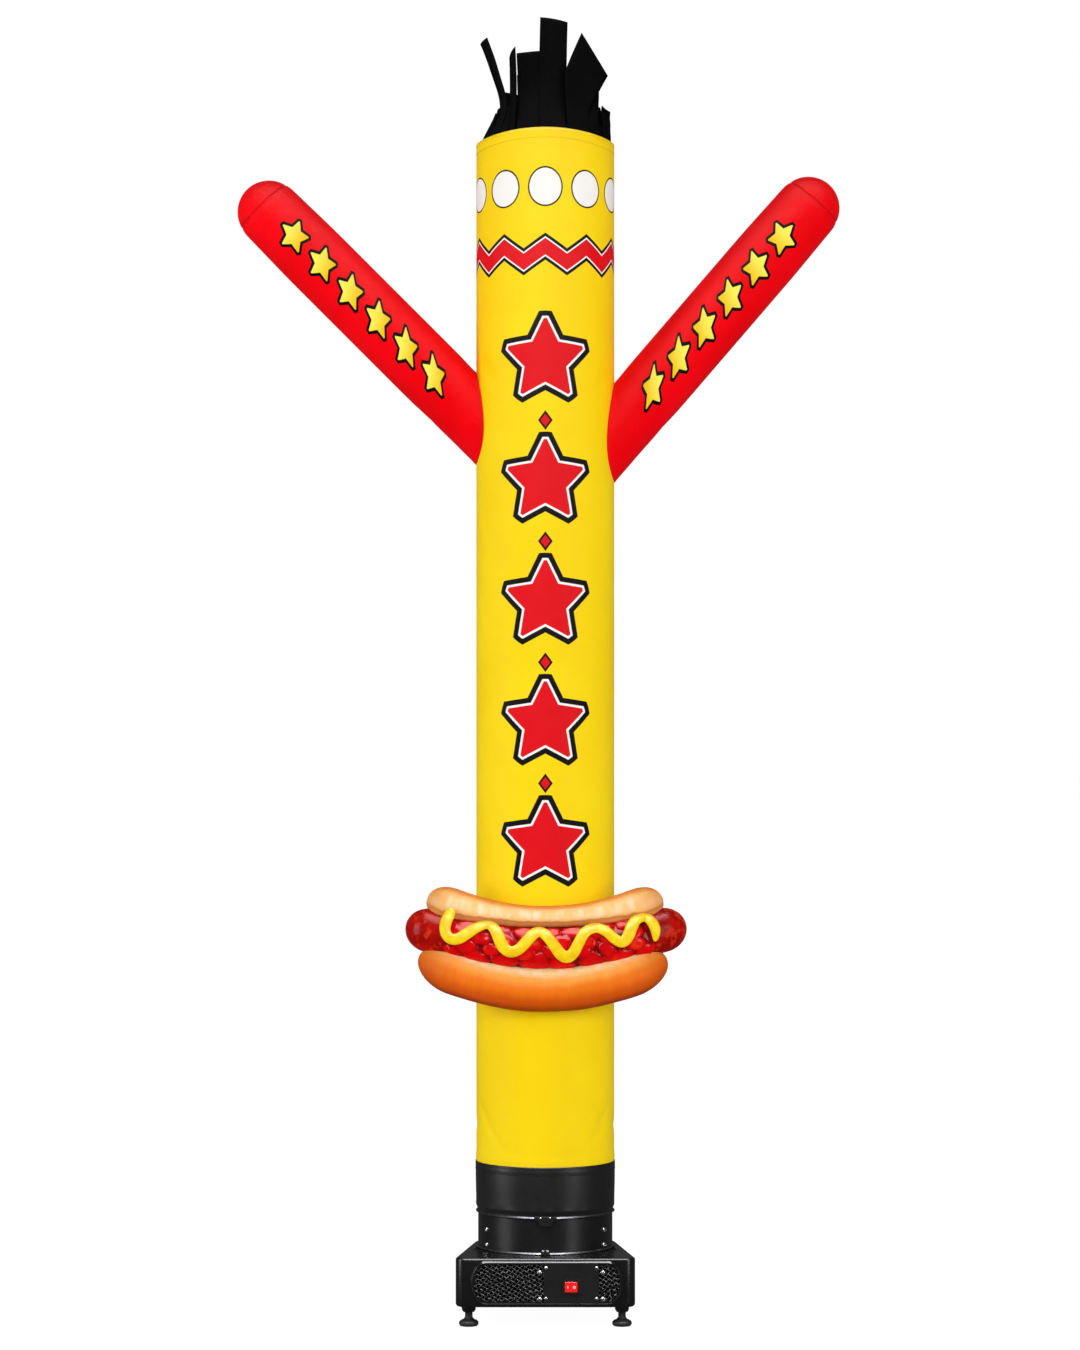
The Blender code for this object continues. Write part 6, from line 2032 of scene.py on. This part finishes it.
def hair_strip(index, strip, first, last):
    """One strip as a grid: across its width, and up from its root."""
    wide, left, right, lean, bends = strip
    middle = (first + last) / 2
    facing = Vector((math.sin(middle), -math.cos(middle), 0))
    beside = Vector((math.cos(middle), math.sin(middle), 0))

    def place(across, share):
        across += 0.5
        own = first + (last - first) * across
        top = left[0] + (right[0] - left[0]) * across
        shift = left[1] + (right[1] - left[1]) * across
        bend = bends[0] + (bends[1] - bends[0]) * across
        root = Vector((math.sin(own), -math.cos(own), 0)) * HAIR_R
        foot_z = HAIR_ROOT + RIM_RISE * math.cos(own) ** 2
        if share < SEWN_SHARE:
            return root + Vector((0, 0, foot_z - SEWN_DEPTH * (1 - share / SEWN_SHARE)))
        rise = (share - SEWN_SHARE) / (1 - SEWN_SHARE)
        high = top * MM * rise
        inward = lean * MM * math.sin(min(high / HAIR_LEAN_HEIGHT, 1.0) * math.pi / 2)
        bow = 0.0035 * math.sin(math.pi * across) * smooth_step(rise * 2) * (
            1 if index % 2 else -1)
        wave = 0.0030 * noise.noise(Vector((index * 3.7, rise * 3.0, across))) * rise
        return (root - facing * (inward + bow + wave)
                + beside * (shift * MM * (max(rise - bend, 0) / (1 - bend)) ** 1.12)
                + Vector((0, 0, foot_z + high)))

    return rolled_cloth(max(4, round(wide / 2.0)), 34, place, wide * MM * 2.6, 0.25)


spare = (360 - sum(strip[0] for strip in HAIR)) / len(HAIR)
print("gap between strips: %.2f degrees" % spare)

# %% [markdown]
# The strips stand side by side round the rim, and together they are one piece.

# %% Make the hair
bm = bmesh.new()
bearing = HAIR_FIRST
for index, strip in enumerate(HAIR):
    join_bmesh(bm, hair_strip(index, strip, math.radians(bearing),
                              math.radians(bearing + strip[0])))
    bearing += strip[0] + spare
hair_cut = sum(face.calc_area() for face in bm.faces)
hair = thicken(to_piece(bm, "hair_cloth", black_nylon, "black_nylon", sharp=None,
                        closed=False), HAIR_WALL, 0.0)
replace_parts(hair, "hair_strips")
print("hair:", len(HAIR), "strips, %.3f square metres of cloth" % hair_cut)

# %% [markdown]
# ## The dressed model's size is printed from its box.
# The dressed model has to keep the solids' size, so both boxes are written down.

# %% Write the sizes and finish
low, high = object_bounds()
print("dressed: %s" % [round(h - l, 4) for l, h in zip(low, high)])
